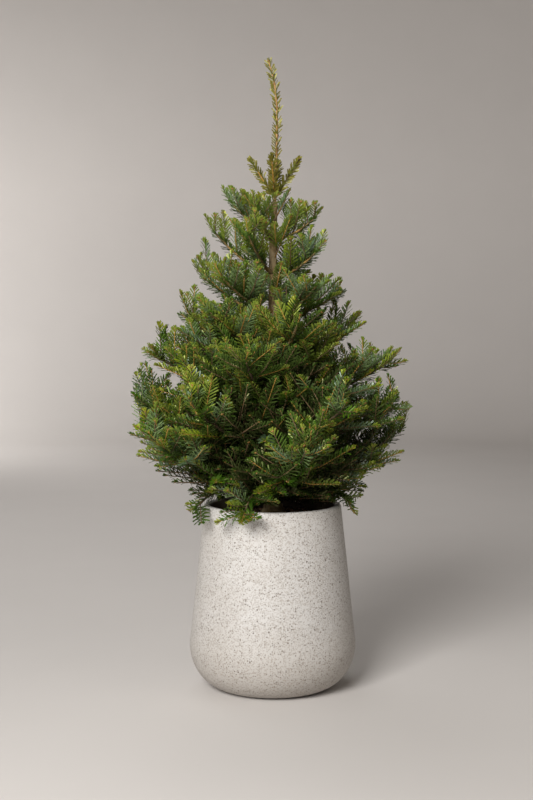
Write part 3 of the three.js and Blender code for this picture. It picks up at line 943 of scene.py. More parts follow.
def mesh_piece(name, vertices, patterns, materials, tint=None, pattern_slots=None, smooth=True):
    """A mesh object of many like shapes. vertices has the shape shapes x points x 3, and each pattern
    is the faces of one shape, which every shape repeats. A face's material is its shape's tint plus
    its own place in pattern_slots."""
    count, size = vertices.shape[:2]
    tint = np.zeros(count, int) if tint is None else tint
    pattern_slots = pattern_slots or [np.zeros(len(pattern), int) for pattern in patterns]
    first = np.arange(count)[:, None, None] * size
    faces = [(pattern[None] + first).reshape(-1, pattern.shape[1]) for pattern in patterns]
    slots = [(tint[:, None] + slot[None]).ravel() for slot in pattern_slots]
    corners = np.concatenate([face.ravel() for face in faces])
    sizes = np.concatenate([np.full(len(face), face.shape[1]) for face in faces])
    mesh = bpy.data.meshes.new(name)
    mesh.vertices.add(count * size)
    mesh.vertices.foreach_set("co", vertices.astype(np.float32).ravel())
    mesh.loops.add(len(corners))
    mesh.loops.foreach_set("vertex_index", corners.astype(np.int32))
    mesh.polygons.add(len(sizes))
    mesh.polygons.foreach_set("loop_start", (np.cumsum(sizes) - sizes).astype(np.int32))
    mesh.polygons.foreach_set("material_index", np.concatenate(slots).astype(np.int32))
    mesh.polygons.foreach_set("use_smooth", np.full(len(sizes), smooth))
    for material in materials:
        mesh.materials.append(material)
    mesh.update(calc_edges=True)
    piece = bpy.data.objects.new(name, mesh)
    bpy.context.scene.collection.objects.link(piece)
    return piece


def seat(piece, slot, *nodes):
    """Ties a piece to the part's body and hides the nodes that it stands for. The slot is not used."""
    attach(piece, BODY)
    if nodes:
        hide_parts(*nodes)


# Keeps a line's sides from failing where it stands upright
NUDGE = 1e-6


def tubes(shoots, rows, sides, relief=None):
    """Tapered round stems along growth lines, closed to a point just past the tip. Each ring is the
    line's point plus radius * (cos * side + sin * over), the radius plus its relief."""
    turn = circle(sides)
    rings = []
    for i in range(rows):
        share = i / (rows - 1)
        side, over = across(shoots.heading(share), shoots.up + NUDGE)
        radius = shoots.radius(share)[:, None] + np.zeros(sides)
        if relief is not None:
            radius = radius + relief(shoots, share, turn)
        out = swung(side[:, None], over[:, None], turn)
        rings.append(shoots.at(share)[:, None] + out * radius[..., None])
    tip = shoots.at(1) + shoots.heading(1) * shoots.tip_radius[:, None]
    return closed_skins(np.stack(rings, axis=1), shoots.at(0), tip)


def math_operators(operation):
    """An operator on values and its reflected form, each of which adds one Math node."""
    return (
        lambda value, other: value.finish.math(operation, value, other),
        lambda value, other: value.finish.math(operation, other, value),
    )


class Value:
    """A socket of a finish's nodes. Arithmetic on it adds the Math node that works it out."""

    def __init__(self, finish, socket):
        self.finish = finish
        self.socket = socket

    __add__, __radd__ = math_operators("ADD")
    __sub__, __rsub__ = math_operators("SUBTRACT")
    __mul__, __rmul__ = math_operators("MULTIPLY")


class Finish:
    """A material and its nodes, ending in one Principled shader."""

    def __init__(self, name):
        self.material = bpy.data.materials.new(name)
        self.material.use_nodes = True
        self.tree = self.material.node_tree
        self.shader = self.tree.nodes["Principled BSDF"]

    def node(self, kind, settings=None, output=0, **sockets):
        """A node of a kind. Its settings come first, then the values or links of its sockets: by name,
        with _ for a space, or by number after an n."""
        made = self.tree.nodes.new("ShaderNode" + kind)
        for name, value in (settings or {}).items():
            setattr(made, name, value)
        for name, value in sockets.items():
            numbered = name[0] == "n" and name[1:].isdigit()
            self.feed(made.inputs[int(name[1:]) if numbered else name.replace("_", " ")], value)
        return Value(self, made.outputs[output])

    def feed(self, socket, value):
        """Sets a socket's own value, or links it."""
        if isinstance(value, Value):
            self.tree.links.new(value.socket, socket)
        else:
            socket.default_value = value

    def math(self, operation, first, second=0.0):
        """One Math node."""
        return self.node("Math", {"operation": operation}, n0=first, n1=second)

    def position(self):
        """The point in the piece's own frame, in metres."""
        return self.node("TexCoord", output="Object")

    def noise(self, scale, detail=2.0, roughness=0.5, place=None, output=0):
        """Soft noise with a feature size of one over its scale, from 0 to 1, or three of them at once
        from the Color output."""
        sockets = {"Scale": scale, "Detail": detail, "Roughness": roughness}
        return self.node("TexNoise", output=output, Vector=place or self.position(), **sockets)

    def vector(self, operation, first, second):
        """One Vector Math node on two vectors."""
        return self.node("VectorMath", {"operation": operation}, n0=first, n1=second)

    def dots(self, place, scale, lowest, largest):
        """Round dots, one in each cell whose number is over the lowest: 1 where the distance to the
        cell's centre is below a size that grows with its number up to the largest, in cell widths,
        with an edge a tenth of a cell wide."""
        cells = {"Vector": place, "Scale": scale, "Randomness": 1.0}
        distance = self.node("TexVoronoi", {"feature": "F1"}, output="Distance", **cells)
        number = self.node("TexVoronoi", {"feature": "F1"}, output="Color", **cells)
        size = self.smooth_step(self.node("SeparateColor", Color=number), lowest, 1.0) * largest
        return self.smooth_step(size - distance, 0.0, 0.10)

    def between(self, low, high, share):
        """Two colours mixed by a share."""
        return self.node("Mix", {"data_type": "RGBA"}, output=2, n0=share, n6=low, n7=high)

    def smooth_step(self, value, start, end):
        """0 below start and 1 above end, smooth between them."""
        settings = {"interpolation_type": "SMOOTHSTEP"}
        return self.node("MapRange", settings, Value=value, From_Min=start, From_Max=end)

    def bump(self, height, distance, strength=1.0):
        """A surface normal from a height, which is in shares of a distance in metres."""
        return self.node("Bump", Height=height, Distance=distance, Strength=strength)

    def done(self, **sockets):
        """Feeds the shader's sockets and gives the material."""
        for name, value in sockets.items():
            self.feed(self.shader.inputs[name.replace("_", " ")], value)
        return self.material


def rgba(color):
    """A colour with full alpha, for a socket."""
    return (*color, 1.0)


# The stone: scales of its clouds and grain, its three kinds of dots, how far these are bent and at what
# scale, the height over which painted shade darkens its foot, and the painted shade on its inner wall:
# where it fades through the wall, and how deep under the rim it is still full and where it is gone
STONE_CLOUDS = 14
STONE_GRAIN = 900
FLECKS = {"scale": 520, "lowest": 0.05, "largest": 0.74}
SPECKS = {"scale": 300, "lowest": 0.30, "largest": 0.46}
PITS = {"scale": 150, "lowest": 0.80, "largest": 0.28}
BEND_SCALE = 700
BEND = 0.0012
FOOT_SHADE_TOP = 0.17
INNER_SHADE_SKIN = (0.0005, 0.003)
INNER_SHADE_DEPTHS = (0.10, 0.12)
STONE_RELIEF = 0.0006


def stone_finish(settings):
    """Pale stone composite: a cloudy base with painted shade darkening it towards the foot, with dense
    fine flecks, sparser dark specks and a few pits, and painted shade on the inner wall under the rim."""
    finish = Finish("pale_speckled_stone")
    shade = rgba(settings.stone_shade)
    clouds = finish.noise(STONE_CLOUDS, 3)
    grain = finish.noise(STONE_GRAIN, 2, 0.7)
    color = finish.between(rgba(settings.stone), shade, clouds * 0.8 + grain * 0.5 - 0.15)
    height = finish.node("SeparateXYZ", output="Z", Vector=finish.position())
    # Painted shade: the stone darkens towards its foot
    color = finish.between(color, shade, 1.0 - finish.smooth_step(height, 0.0, FOOT_SHADE_TOP))
    bend = finish.noise(BEND_SCALE, 1.0, output="Color")
    bend = finish.node("VectorMath", {"operation": "SCALE"}, n0=bend, Scale=BEND)
    bent = finish.vector("ADD", finish.position(), bend)
    flecks = finish.dots(bent, **FLECKS)
    specks = finish.dots(bent, **SPECKS)
    pits = finish.dots(bent, **PITS)
    color = finish.between(color, rgba(settings.brown_fleck), flecks * 0.42)
    color = finish.between(color, rgba(settings.dark_speck), specks * 0.62)
    color = finish.between(color, rgba(settings.dark_speck), pits * 0.8)
    flat = finish.vector("MULTIPLY", finish.position(), (1, 1, 0))
    from_axis = finish.node("VectorMath", {"operation": "LENGTH"}, output="Value", n0=flat)
    from_axis = from_axis + (height - settings.height) * WALL_LEAN
    # Painted shade on the inner wall under the rim
    skin_start, skin_end = (RIM_RADIUS - WALL + depth for depth in INNER_SHADE_SKIN)
    full_above, none_below = (settings.height - depth for depth in INNER_SHADE_DEPTHS)
    damp = 1.0 - finish.smooth_step(from_axis, skin_start, skin_end)
    damp = damp * finish.smooth_step(height, none_below, full_above)
    color = finish.between(color, rgba(settings.damp), damp)
    bumps = grain * 0.3 + clouds * 0.3 - pits - specks * 0.5 - flecks * 0.2
    normal = finish.bump(bumps, STONE_RELIEF, 0.6)
    return finish.done(Base_Color=color, Roughness=0.52 + grain * 0.2, Normal=normal)


# Scales of the compost's crumbs and clods, and the height of the crumbs
CRUMBS = 160
CLODS = 28
CRUMB_RELIEF = 0.002


def compost_finish(name, light, dark):
    """Damp crumbs: two browns by coarse and fine noise, rough all over."""
    finish = Finish(name)
    crumbs = finish.noise(CRUMBS, 4, 0.65)
    share = finish.smooth_step(crumbs + finish.noise(CLODS, 2) * 0.6, 0.55, 1.1)
    color = finish.between(rgba(dark), rgba(light), share)
    normal = finish.bump(crumbs, CRUMB_RELIEF, 0.9)
    return finish.done(Base_Color=color, Roughness=0.95 - crumbs * 0.15, Normal=normal)


# Scales of the bark's streaks, patches and warts, how far the streaks are drawn out, and their relief
STREAKS = 420
STREAK_STRETCH = (1.0, 1.0, 0.22)
PATCHES = 46
WARTS = 260
BARK_RELIEF = 0.0008


def bark_finish(name, light, dark, patch):
    """Young bark: grey-brown with lighter patches, fine streaks along the stem and small warts."""
    finish = Finish(name)
    drawn_out = finish.node("Mapping", Vector=finish.position(), Scale=STREAK_STRETCH)
    streaks = finish.noise(STREAKS, 4, 0.6, place=drawn_out)
    patches = finish.smooth_step(finish.noise(PATCHES, 3), 0.48, 0.66)
    warts = finish.smooth_step(finish.noise(WARTS, 1), 0.60, 0.72)
    color = finish.between(rgba(dark), rgba(light), finish.smooth_step(streaks, 0.35, 0.7))
    color = finish.between(color, rgba(patch), patches * 0.6)
    normal = finish.bump(streaks * 0.7 + warts * 0.6, BARK_RELIEF, 0.8)
    return finish.done(Base_Color=color, Roughness=0.88 - patches * 0.12, Normal=normal)


def plain_finish(name, color, roughness, shine=0.5, tint=(1.0, 1.0, 1.0)):
    """One colour and gloss for a small thing that is dealt out by the thousand."""
    return Finish(name).done(
        Base_Color=rgba(color), Roughness=roughness, Specular_IOR_Level=shine, Specular_Tint=rgba(tint)
    )


def times(color, share):
    """A colour darkened to a share of its light."""
    return tuple(channel * share for channel in color)


def color_property(name, default, description):
    """A colour that a user can change."""
    return bpy.props.FloatVectorProperty(
        name=name, description=description, default=default, subtype="COLOR", min=0, max=1, size=3
    )


def length_property(name, default, description):
    """A length in metres that a user can change."""
    return bpy.props.FloatProperty(
        name=name, description=description, default=default, unit="LENGTH", subtype="DISTANCE", min=0,
        precision=4,
    )


def power_property(name, default, description):
    """A lamp's power in watts that a user can change."""
    return bpy.props.FloatProperty(
        name=name, description=description, default=default, min=0, unit="POWER"
    )


class FirPlanterSettings(bpy.types.PropertyGroup):
    """Sizes and colours of the planter and its compost."""

    height: length_property("Height", PLANTER_TOP, "From the flat underside to the rim")
    lip: length_property("Lip radius", 0.0045, "Radius of the rim's rounded edges")
    unevenness: length_property("Unevenness", 0.0003, "How far the hand-finished wall strays from round")
    stone: color_property("Stone", (0.585, 0.575, 0.565), "Main colour of the stone composite")
    # The colour of the stone's darker clouds, and of the painted shade towards its foot
    stone_shade: color_property("Stone shade", (0.430, 0.402, 0.370), "Colour of its darker clouds")
    # Colour of the painted shade on the inner wall under the rim
    damp: color_property("Damp wall", (0.240, 0.185, 0.135), "Colour of the inner wall's damp stain")
    dark_speck: color_property("Dark specks", (0.095, 0.068, 0.045), "Colour of the dark specks")
    brown_fleck: color_property("Brown flecks", (0.19, 0.140, 0.095), "Colour of the fine brown flecks")
    compost: color_property("Compost", (0.050, 0.030, 0.020), "Colour of the compost's lighter crumbs")
    mulch: color_property("Mulch", (0.17, 0.075, 0.035), "Colour of the bits of bark on the compost")


class FirTreeSettings(bpy.types.PropertyGroup):
    """Sizes and colours of the trunk, twigs, buds and needles."""

    needle_width: length_property("Needle width", 0.0025, "Width of a needle near its tip")
    needle_pitch: length_property("Needle pitch", 0.00150, "Distance along a twig from needle to needle")
    bud_length: length_property("Bud length", 0.0044, "Length of the buds at the tips")
    bark: color_property("Bark", (0.32, 0.225, 0.095), "Main colour of the trunk")
    bark_shade: color_property("Bark shade", (0.15, 0.100, 0.040), "Colour of the trunk's dark streaks")
    bark_patch: color_property("Bark patches", (0.42, 0.320, 0.18), "Colour of the trunk's pale patches")
    old_twig: color_property("Old twigs", (0.12, 0.070, 0.030), "Colour of twigs two years old")
    young_twig: color_property("Young twigs", (0.34, 0.180, 0.032), "Colour of this year's twigs")
    limb_shade: color_property("Limb shade", (0.055, 0.038, 0.022), "Colour of the limbs' dark streaks")
    leader_twig: color_property("Leading shoot", (0.38, 0.215, 0.085), "Colour of the leading shoot's bark")
    bud: color_property("Buds", (0.27, 0.135, 0.030), "Colour of the buds")
    deep: color_property("Deep green", (0.018, 0.050, 0.002), "Upper side of the oldest needles")
    mid: color_property("Middle green", (0.040, 0.110, 0.002), "Upper side of plain green needles")
    olive: color_property("Olive green", (0.074, 0.112, 0.005), "Upper side of dull needles")
    fresh: color_property("Fresh green", (0.158, 0.212, 0.006), "Upper side of the year's needles")
    # Bluish needles: partly a waxy bloom, partly a painted sheen
    bluish: color_property("Bluish green", (0.080, 0.132, 0.062), "Upper side of waxy needles")
    tip: color_property("Tip green", (0.176, 0.198, 0.007), "Upper side of the needles at a shoot's tip")
    young: color_property("Young green", (0.140, 0.124, 0.013), "Upper side of the leading shoot's needles")
    shaded: color_property("Shaded green", (0.014, 0.024, 0.004), "Upper side of needles inside the crown")
    underside: color_property("Undersides", (0.126, 0.180, 0.048), "Silvery bands under the needles")


class FirStageSettings(bpy.types.PropertyGroup):
    """The floor, lights and camera."""

    floor: color_property("Floor", (0.60, 0.568, 0.545), "Colour of the floor and its curved surround")
    key_power: power_property("Key light", 183, "Power of the soft light at the front left")
    fill_power: power_property("Fill light", 8, "Power of the fill light at the right")
    overhead_power: power_property("Overhead light", 36, "Power of the light on the floor behind")
    backdrop_power: power_property("Backdrop light", 70, "Power of the light on the surround behind")
    sky: bpy.props.FloatProperty(
        name="Sky", description="Strength of the even light from all round", default=0.10, min=0, max=5
    )
    camera_distance: length_property("Camera distance", 2.4, "From the camera to the tree's axis")
    camera_height: length_property("Camera height", 0.667, "Height of the camera above the floor")
    camera_pitch: bpy.props.FloatProperty(
        name="Camera pitch", description="How far the camera looks down", default=math.radians(3.36),
        subtype="ANGLE", unit="ROTATION",
    )


# Slow waves in the planter's wall, crumbs of the compost and furrows of the bark
WALL_RIPPLES = {"seed": 11, "waves": 14, "finest": (9, 60)}
SOIL_RIPPLES = {"seed": 21, "waves": 40, "finest": (24, 420)}
BARK_RIPPLES = {"seed": 41, "waves": 60, "finest": (26, 160)}


def lathe(radii, heights, sides, wobble=0.0):
    """A turned shape: the outline's radius and height carried round the axis, with a slow wave added to
    the radius. The outline's ends close on the axis."""
    turn = circle(sides)
    radius = radii[:, None] + wobble * ripples(turn, heights[:, None], **WALL_RIPPLES)
    rings = polar(radius, turn, heights[:, None])
    foot, tip = polar(0.0, 0.0, heights[[0, -1]])
    return closed_skins(rings[None], foot[None], tip[None])


def arc(centre, radius, start, end, steps):
    """Points on a circle's arc in the outline's plane, from one angle to another, in degrees."""
    angle = np.radians(np.linspace(start, end, steps))
    return np.stack([centre[0] + radius * np.cos(angle), centre[1] + radius * np.sin(angle)], axis=-1)


# The planter's finer outline: the edge of its underside, the turn of its corner in degrees, how the wall
# swells over the belly, where the inner wall meets the floor, and the points of each stretch
PLANTER_SIDES = 160
FOOT_EDGE = 0.003
FOOT_LIFT = 0.0004
CORNER_TURN = (8, 96)
BELLY_SWELL = {"most": 0.0004, "fades": 0.02}
INNER_CORNER = 0.02
CORNER_POINTS, WALL_POINTS, INNER_POINTS, LIP_POINTS = 34, 30, 24, 9


class FIR_OT_planter(bpy.types.Operator):
    """Turn the planter: a rounded belly on a small foot, a straight wall and a soft lip"""

    bl_idname = "fir.planter"
    bl_label = "Planter"

    def execute(self, context):
        settings = context.scene.fir_planter
        outline = self.outline(settings.height, settings.lip)
        vertices, patterns = lathe(outline[:, 0], outline[:, 1], PLANTER_SIDES, settings.unevenness)
        vertices[..., 2] = np.maximum(vertices[..., 2], 0.0)
        piece = mesh_piece("stone_planter", vertices, patterns, [stone_finish(settings)])
        seat(piece, "planter_stone", "planter")
        return {"FINISHED"}

    @staticmethod
    def outline(height, lip):
        """Radius and height from the underside's middle round the belly, up the wall, over a lip of two
        quarter circles, and down inside to the floor's middle."""
        turn = np.radians(np.linspace(*CORNER_TURN, CORNER_POINTS))
        corner_radii = mix(FOOT_RADIUS, BELLY_RADIUS, np.sin(turn))
        corner = np.stack([corner_radii, BELLY_HEIGHT * (1 - np.cos(turn))], axis=-1)
        wall_slope = math.degrees(math.atan((BELLY_RADIUS - RIM_RADIUS) / (height - BELLY_HEIGHT)))
        wall_heights = np.linspace(corner[-1, 1], height - lip, WALL_POINTS)[1:]
        swell = BELLY_SWELL["most"] * np.exp(-(wall_heights - BELLY_HEIGHT) / BELLY_SWELL["fades"])
        wall = np.stack([planter_radius(wall_heights) + swell, wall_heights], axis=-1)
        rim = float(planter_radius(height - lip))
        inner_heights = np.linspace(height - lip, FLOOR + INNER_CORNER, INNER_POINTS)[1:]
        inner_wall = np.stack([planter_radius(inner_heights, WALL), inner_heights], axis=-1)
        return np.concatenate([
            [[FOOT_RADIUS / 2, 0.0], [FOOT_RADIUS - FOOT_EDGE, 0.0], [FOOT_RADIUS, FOOT_LIFT]],
            corner,
            wall,
            arc((rim - lip, height - lip), lip, wall_slope, 88, LIP_POINTS),
            arc((rim - WALL + lip, height - lip), lip, 92, 180, LIP_POINTS),
            inner_wall,
            [[float(planter_radius(FLOOR, WALL)) - FOOT_EDGE, FLOOR]],
        ])


# The compost: how far its foot is drawn in and stands over the planter's floor, how far its side ends
# under its edge, its innermost ring, its points, where it levels out, and its crumbs
SOIL_SIDES = 120
SOIL_FOOT_INSET = 0.003
SOIL_FOOT_LIFT = 0.001
SOIL_EDGE_DROP = 0.002
SOIL_INNERMOST = 0.003
SOIL_SIDE_POINTS = 14
SOIL_TOP_POINTS = 44
SOIL_LEVEL_FROM = 0.11
SOIL_CRUMBS = 0.0012
SOIL_RIPPLE_STRETCH = 6


def ground_height(radius, turn):
    """The compost's surface: level at the wall, mounded to the flat round the trunk, with crumbs."""
    edge = PLANTER_TOP - SOIL_BELOW_RIM
    share = np.clip((radius - SOIL_FLAT) / SOIL_FLAT, 0, 1)
    mound = mix(GROUND, mix(edge, GROUND, 0.5), share)
    outer = np.clip((radius - 2 * SOIL_FLAT) / (SOIL_LEVEL_FROM - 2 * SOIL_FLAT), 0, 1)
    crumbs = ripples(turn, radius * SOIL_RIPPLE_STRETCH, **SOIL_RIPPLES)
    return mix(mound, edge, outer) + SOIL_CRUMBS * (crumbs - 1)


# The bits of bark: how many, their corners and how far these stray, their lengths, widths as a share,
# thicknesses, rise over the compost and tilt, from where to where they lie, and their three tints
BITS = 620
BIT_SIDES = 5
BIT_UNEVEN = 0.35
BIT_LENGTHS = (0.006, 0.016)
BIT_WIDTHS = (0.3, 0.6)
BIT_THICKNESS = (0.0008, 0.0022)
BIT_RISE = (0.0005, 0.0040)
BIT_TILT = 0.35
BIT_REACH = (0.028, 0.099)
BIT_UPPER = 0.86
BIT_SHARES = (0.5, 0.35, 0.15)
DARK_BIT = (0.02, 0.012, 0.008)
PALE_BIT = (0.30, 0.19, 0.11)


class FIR_OT_compost(bpy.types.Operator):
    """Fill the planter with compost, scattered with bits of bark"""

    bl_idname = "fir.compost"
    bl_label = "Compost and mulch"

    def execute(self, context):
        settings = context.scene.fir_planter
        self.fill(settings.compost)
        self.scatter_mulch(settings.mulch)
        return {"FINISHED"}

    @staticmethod
    def fill(color):
        """The compost: rings up the planter's inner wall, then inwards over the surface."""
        turn = circle(SOIL_SIDES)
        side_top = PLANTER_TOP - SOIL_BELOW_RIM - SOIL_EDGE_DROP
        side_heights = np.linspace(FLOOR + SOIL_FOOT_LIFT, side_top, SOIL_SIDE_POINTS)[:, None]
        side_radii = planter_radius(side_heights, WALL + SOIL_GAP)
        side_radii[0] -= SOIL_FOOT_INSET
        top_radii = np.linspace(side_radii[-1, 0], SOIL_INNERMOST, SOIL_TOP_POINTS)[:, None]
        radius = np.concatenate([side_radii, top_radii])
        height = np.concatenate([side_heights + 0 * turn, ground_height(top_radii, turn)])
        foot, tip = polar(0.0, 0.0, np.array([height[0, 0], height[-1].mean()]))
        vertices, patterns = closed_skins(polar(radius, turn, height)[None], foot[None], tip[None])
        finish = compost_finish("damp_compost", color, times(color, 0.35))
        piece = mesh_piece("compost", vertices, patterns, [finish])
        seat(piece, "compost", "soil")

    @staticmethod
    def scatter_mulch(color):
        """Bits of bark: flat slabs of uneven corners, lying on the compost with a small tilt."""
        random = np.random.default_rng(SEEDS["mulch"])
        length = random.uniform(*BIT_LENGTHS, BITS)
        spot = np.sqrt(random.uniform(*np.square(BIT_REACH), BITS))
        turn = random.uniform(0, FULL_TURN, BITS)
        middle = polar(spot, turn, ground_height(spot, turn))
        middle[:, 2] += random.uniform(*BIT_RISE, BITS)
        normal = unit(np.insert(random.normal(0, BIT_TILT, (BITS, 2)), 2, 1.0, axis=1))
        along = polar(1.0, random.uniform(0, FULL_TURN, BITS), 0.0)
        along = unit(along - normal * dot(along, normal))
        beside = np.cross(normal, along)
        corner = circle(BIT_SIDES) + random.uniform(-BIT_UNEVEN, BIT_UNEVEN, (BITS, BIT_SIDES))
        long = along * length[:, None] / 2
        wide = beside * (length * random.uniform(*BIT_WIDTHS, BITS))[:, None] / 2
        thick = (normal * random.uniform(*BIT_THICKNESS, BITS)[:, None])[:, None]
        flat = swung(long[:, None], wide[:, None], corner)
        lower = middle[:, None] + flat - thick
        upper = middle[:, None] + flat * BIT_UPPER + thick
        rings = np.stack([lower, upper], axis=1)
        vertices, patterns = closed_skins(rings, lower.mean(axis=1), upper.mean(axis=1))
        finishes = [
            compost_finish("bark_mulch_red", color, times(color, 0.45)),
            compost_finish("bark_mulch_dark", times(color, 0.5), DARK_BIT),
            compost_finish("bark_mulch_pale", PALE_BIT, color),
        ]
        tint = random.choice(len(BIT_SHARES), size=BITS, p=BIT_SHARES)
        piece = mesh_piece("mulch", vertices, patterns, finishes, tint=tint, smooth=False)
        seat(piece, "compost")


# The trunk's relief: furrows at foot and tip, root ridges, the ring at each level and the collar at each
# limb, and resin blisters. Sizes are heights out of the bark, half heights along it and half widths
# round it
TRUNK_ROWS = 320
TRUNK_SIDES = 44
FURROWS = (0.0007, 0.0002)
ROOT_RIDGE = 0.0022
ROOT_REACH = TRUNK_FLARE_HEIGHT * 1.6
LEVEL_RING = {"out": 0.0006, "high": 0.007}
COLLAR = {"out": 0.0016, "high": 0.0075, "wide": 0.45}
BLISTERS = 150
BLISTER = {"out": 0.0005, "high": 0.0018, "wide": (0.12, 0.22)}
BLISTERS_FROM = 0.03
BLISTERS_TO = 0.05


def away_from(turn, direction):
    """The angle from a direction to others, from half a turn to the right to half a turn to the left."""
    return (turn - direction + np.pi) % FULL_TURN - np.pi


class FIR_OT_trunk(bpy.types.Operator):
    """Grow the trunk with its root flare, branch collars, resin blisters and furrows"""

    bl_idname = "fir.trunk"
    bl_label = "Trunk"

    def execute(self, context):
        settings = context.scene.fir_tree
        turn = circle(TRUNK_SIDES)
        height = np.linspace(TRUNK_FOOT, TRUNK_TIP, TRUNK_ROWS)[:, None]
        radius = trunk_radius(height) + self.relief(turn, height)
        centre = trunk_point(height[:, 0])
        rings = centre[:, None] + polar(radius, turn, 0.0)
        vertices, patterns = closed_skins(rings[None], centre[:1], centre[-1:])
        bark = bark_finish("young_bark", settings.bark, settings.bark_shade, settings.bark_patch)
        piece = mesh_piece("bark_trunk", vertices, patterns, [bark])
        seat(piece, "bark", "trunk")
        return {"FINISHED"}

    @staticmethod
    def relief(turn, height):
        """Furrows by waves that run up the trunk, a swollen collar at each limb's foot and round each
        level, root ridges at the flare, and small resin blisters. Each swelling is its height times
        exp(-distance^2), with the distance in its own half sizes."""
        relief = mix(*FURROWS, trunk_share(height)) * ripples(turn, height, **BARK_RIPPLES)
        flare = np.clip(1 - (height - TRUNK_FOOT) / ROOT_REACH, 0, 1) ** 2
        relief = relief + flare * ROOT_RIDGE * np.sin(5 * turn + 0.7) * np.cos(2 * turn)
        for level in LEVELS:
            ring = ((height - level.base) / LEVEL_RING["high"]) ** 2
            relief = relief + LEVEL_RING["out"] * np.exp(-ring)
            for number, degrees in enumerate(level.turns):
                lift = LIMB_STAGGER if number % 2 else -LIMB_STAGGER
                away = away_from(turn, math.radians(degrees)) / COLLAR["wide"]
                near = away**2 + ((height - level.base - lift) / COLLAR["high"]) ** 2
                relief = relief + COLLAR["out"] * np.exp(-near)
        random = np.random.default_rng(SEEDS["blisters"])
        for _ in range(BLISTERS):
            away = away_from(turn, random.uniform(0, FULL_TURN))
            middle = random.uniform(TRUNK_FOOT + BLISTERS_FROM, TRUNK_TIP - BLISTERS_TO)
            away = away / random.uniform(*BLISTER["wide"])
            near = away**2 + ((height - middle) / BLISTER["high"]) ** 2
            relief = relief + BLISTER["out"] * np.exp(-near)
        return relief


# A limb's relief in shares of its radius: the collar where it leaves the trunk, the rings of bud scars,
# and two waves round and along it
LIMB_COLLAR = {"out": 0.5, "from": 0.012, "long": 0.010}
SCARS = {"out": 0.10, "rate": 60, "sharp": 0.18}
LIMB_WAVES = ((0.09, 3, 210), (0.07, 2, -340))
LIMB_PHASE = 1.7


def limb_relief(shoots, share, turn):
    """A limb's bark: a collar where it leaves the trunk, rings of bud scars, and uneven ripples."""
    along = share * shoots.length()[:, None]
    bumps = LIMB_COLLAR["out"] * np.exp(-(((along - LIMB_COLLAR["from"]) / LIMB_COLLAR["long"]) ** 2))
    bumps = bumps + SCARS["out"] * np.exp(-((np.sin(along * SCARS["rate"]) / SCARS["sharp"]) ** 2))
    phase = np.arange(len(shoots))[:, None] * LIMB_PHASE
    for out, round_count, along_rate in LIMB_WAVES:
        bumps = bumps + out * np.sin(round_count * turn + along * along_rate + phase)
    return shoots.radius(share)[:, None] * bumps


class FIR_OT_limbs(bpy.types.Operator):
    """Grow the limbs from the trunk, with collars and bud scars"""

    bl_idname = "fir.limbs"
    bl_label = "Limbs"

    def execute(self, context):
        settings = context.scene.fir_tree
        stems = grow_crown().stems
        vertices, patterns = tubes(stems, rows=44, sides=9, relief=limb_relief)
        finishes = [
            bark_finish("limb_bark", settings.old_twig, settings.limb_shade, settings.bark_shade),
            bark_finish("young_limb_bark", settings.bark, settings.bark_shade, settings.young_twig),
        ]
        young = (stems.root[:, 2] > LEVELS[FULL_LEVELS].base - LIMB_STAGGER * 2).astype(int)
        piece = mesh_piece("bark_limbs", vertices, patterns, finishes, tint=young)
        boughs = [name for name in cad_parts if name.startswith("bough_")]
        seat(piece, "bark", *sorted(boughs))
        return {"FINISHED"}


# How often the bark of shoots and of finer twigs is old. That of shaded growth always is, as painted
# shade inside the crown
OLD_SHOOTS = 0.55
OLD_TWIGS = 0.30


class FIR_OT_twigs(bpy.types.Operator):
    """Grow the shoots and twigs, joined into one piece"""

    bl_idname = "fir.twigs"
    bl_label = "Twigs"

    def execute(self, context):
        settings = context.scene.fir_tree
        shoots = Shoots.join(list(grow_crown().pieces.values()))
        shoots = shoots.pick(shoots.age != STEM)
        vertices, patterns = tubes(shoots, rows=3, sides=4)
        random = np.random.default_rng(SEEDS["twigs"])
        often = np.where(shoots.age == SHOOT, OLD_SHOOTS, OLD_TWIGS)
        # Painted shade: shaded growth inside the crown always gets the dark old bark
        often = np.where(shoots.tint == SHADED, 1.0, often)
        young = np.where(random.uniform(0, 1, len(shoots)) < often, 0, 1)
        tint = np.where(shoots.age == LEADER, 2, young)
        finishes = [
            plain_finish("old_twig_bark", settings.old_twig, 0.8),
            plain_finish("young_twig_bark", settings.young_twig, 0.7),
            plain_finish("leading_shoot_bark", settings.leader_twig, 0.7),
        ]
        piece = mesh_piece("twigs", vertices, patterns, finishes, tint=tint)
        seat(piece, "twigs")
        return {"FINISHED"}


# Buds at a tip: how many there are on twigs and how often, how many on shoots, how far the first and
# the others turn away from the tip's line, their lengths, how deep their foot is set, how far each is
# turned on from the last and how much that varies, and the rings of a bud by place and radius, in
# shares of its length
TWIG_BUDS = (1, 2, 3)
TWIG_BUDS_OFTEN = (0.6, 0.2, 0.2)
SHOOT_BUDS = 3
BUD_APART = (0.12, 0.85)
BUD_LENGTHS = (0.75, 1.15)
BUD_SUNK = 0.0008
BUD_TURN = 3.14
BUD_TURN_VARIES = 0.4
BUD_SIDES = 3
BUD_RINGS = ((0.2, 0.30), (0.65, 0.34))


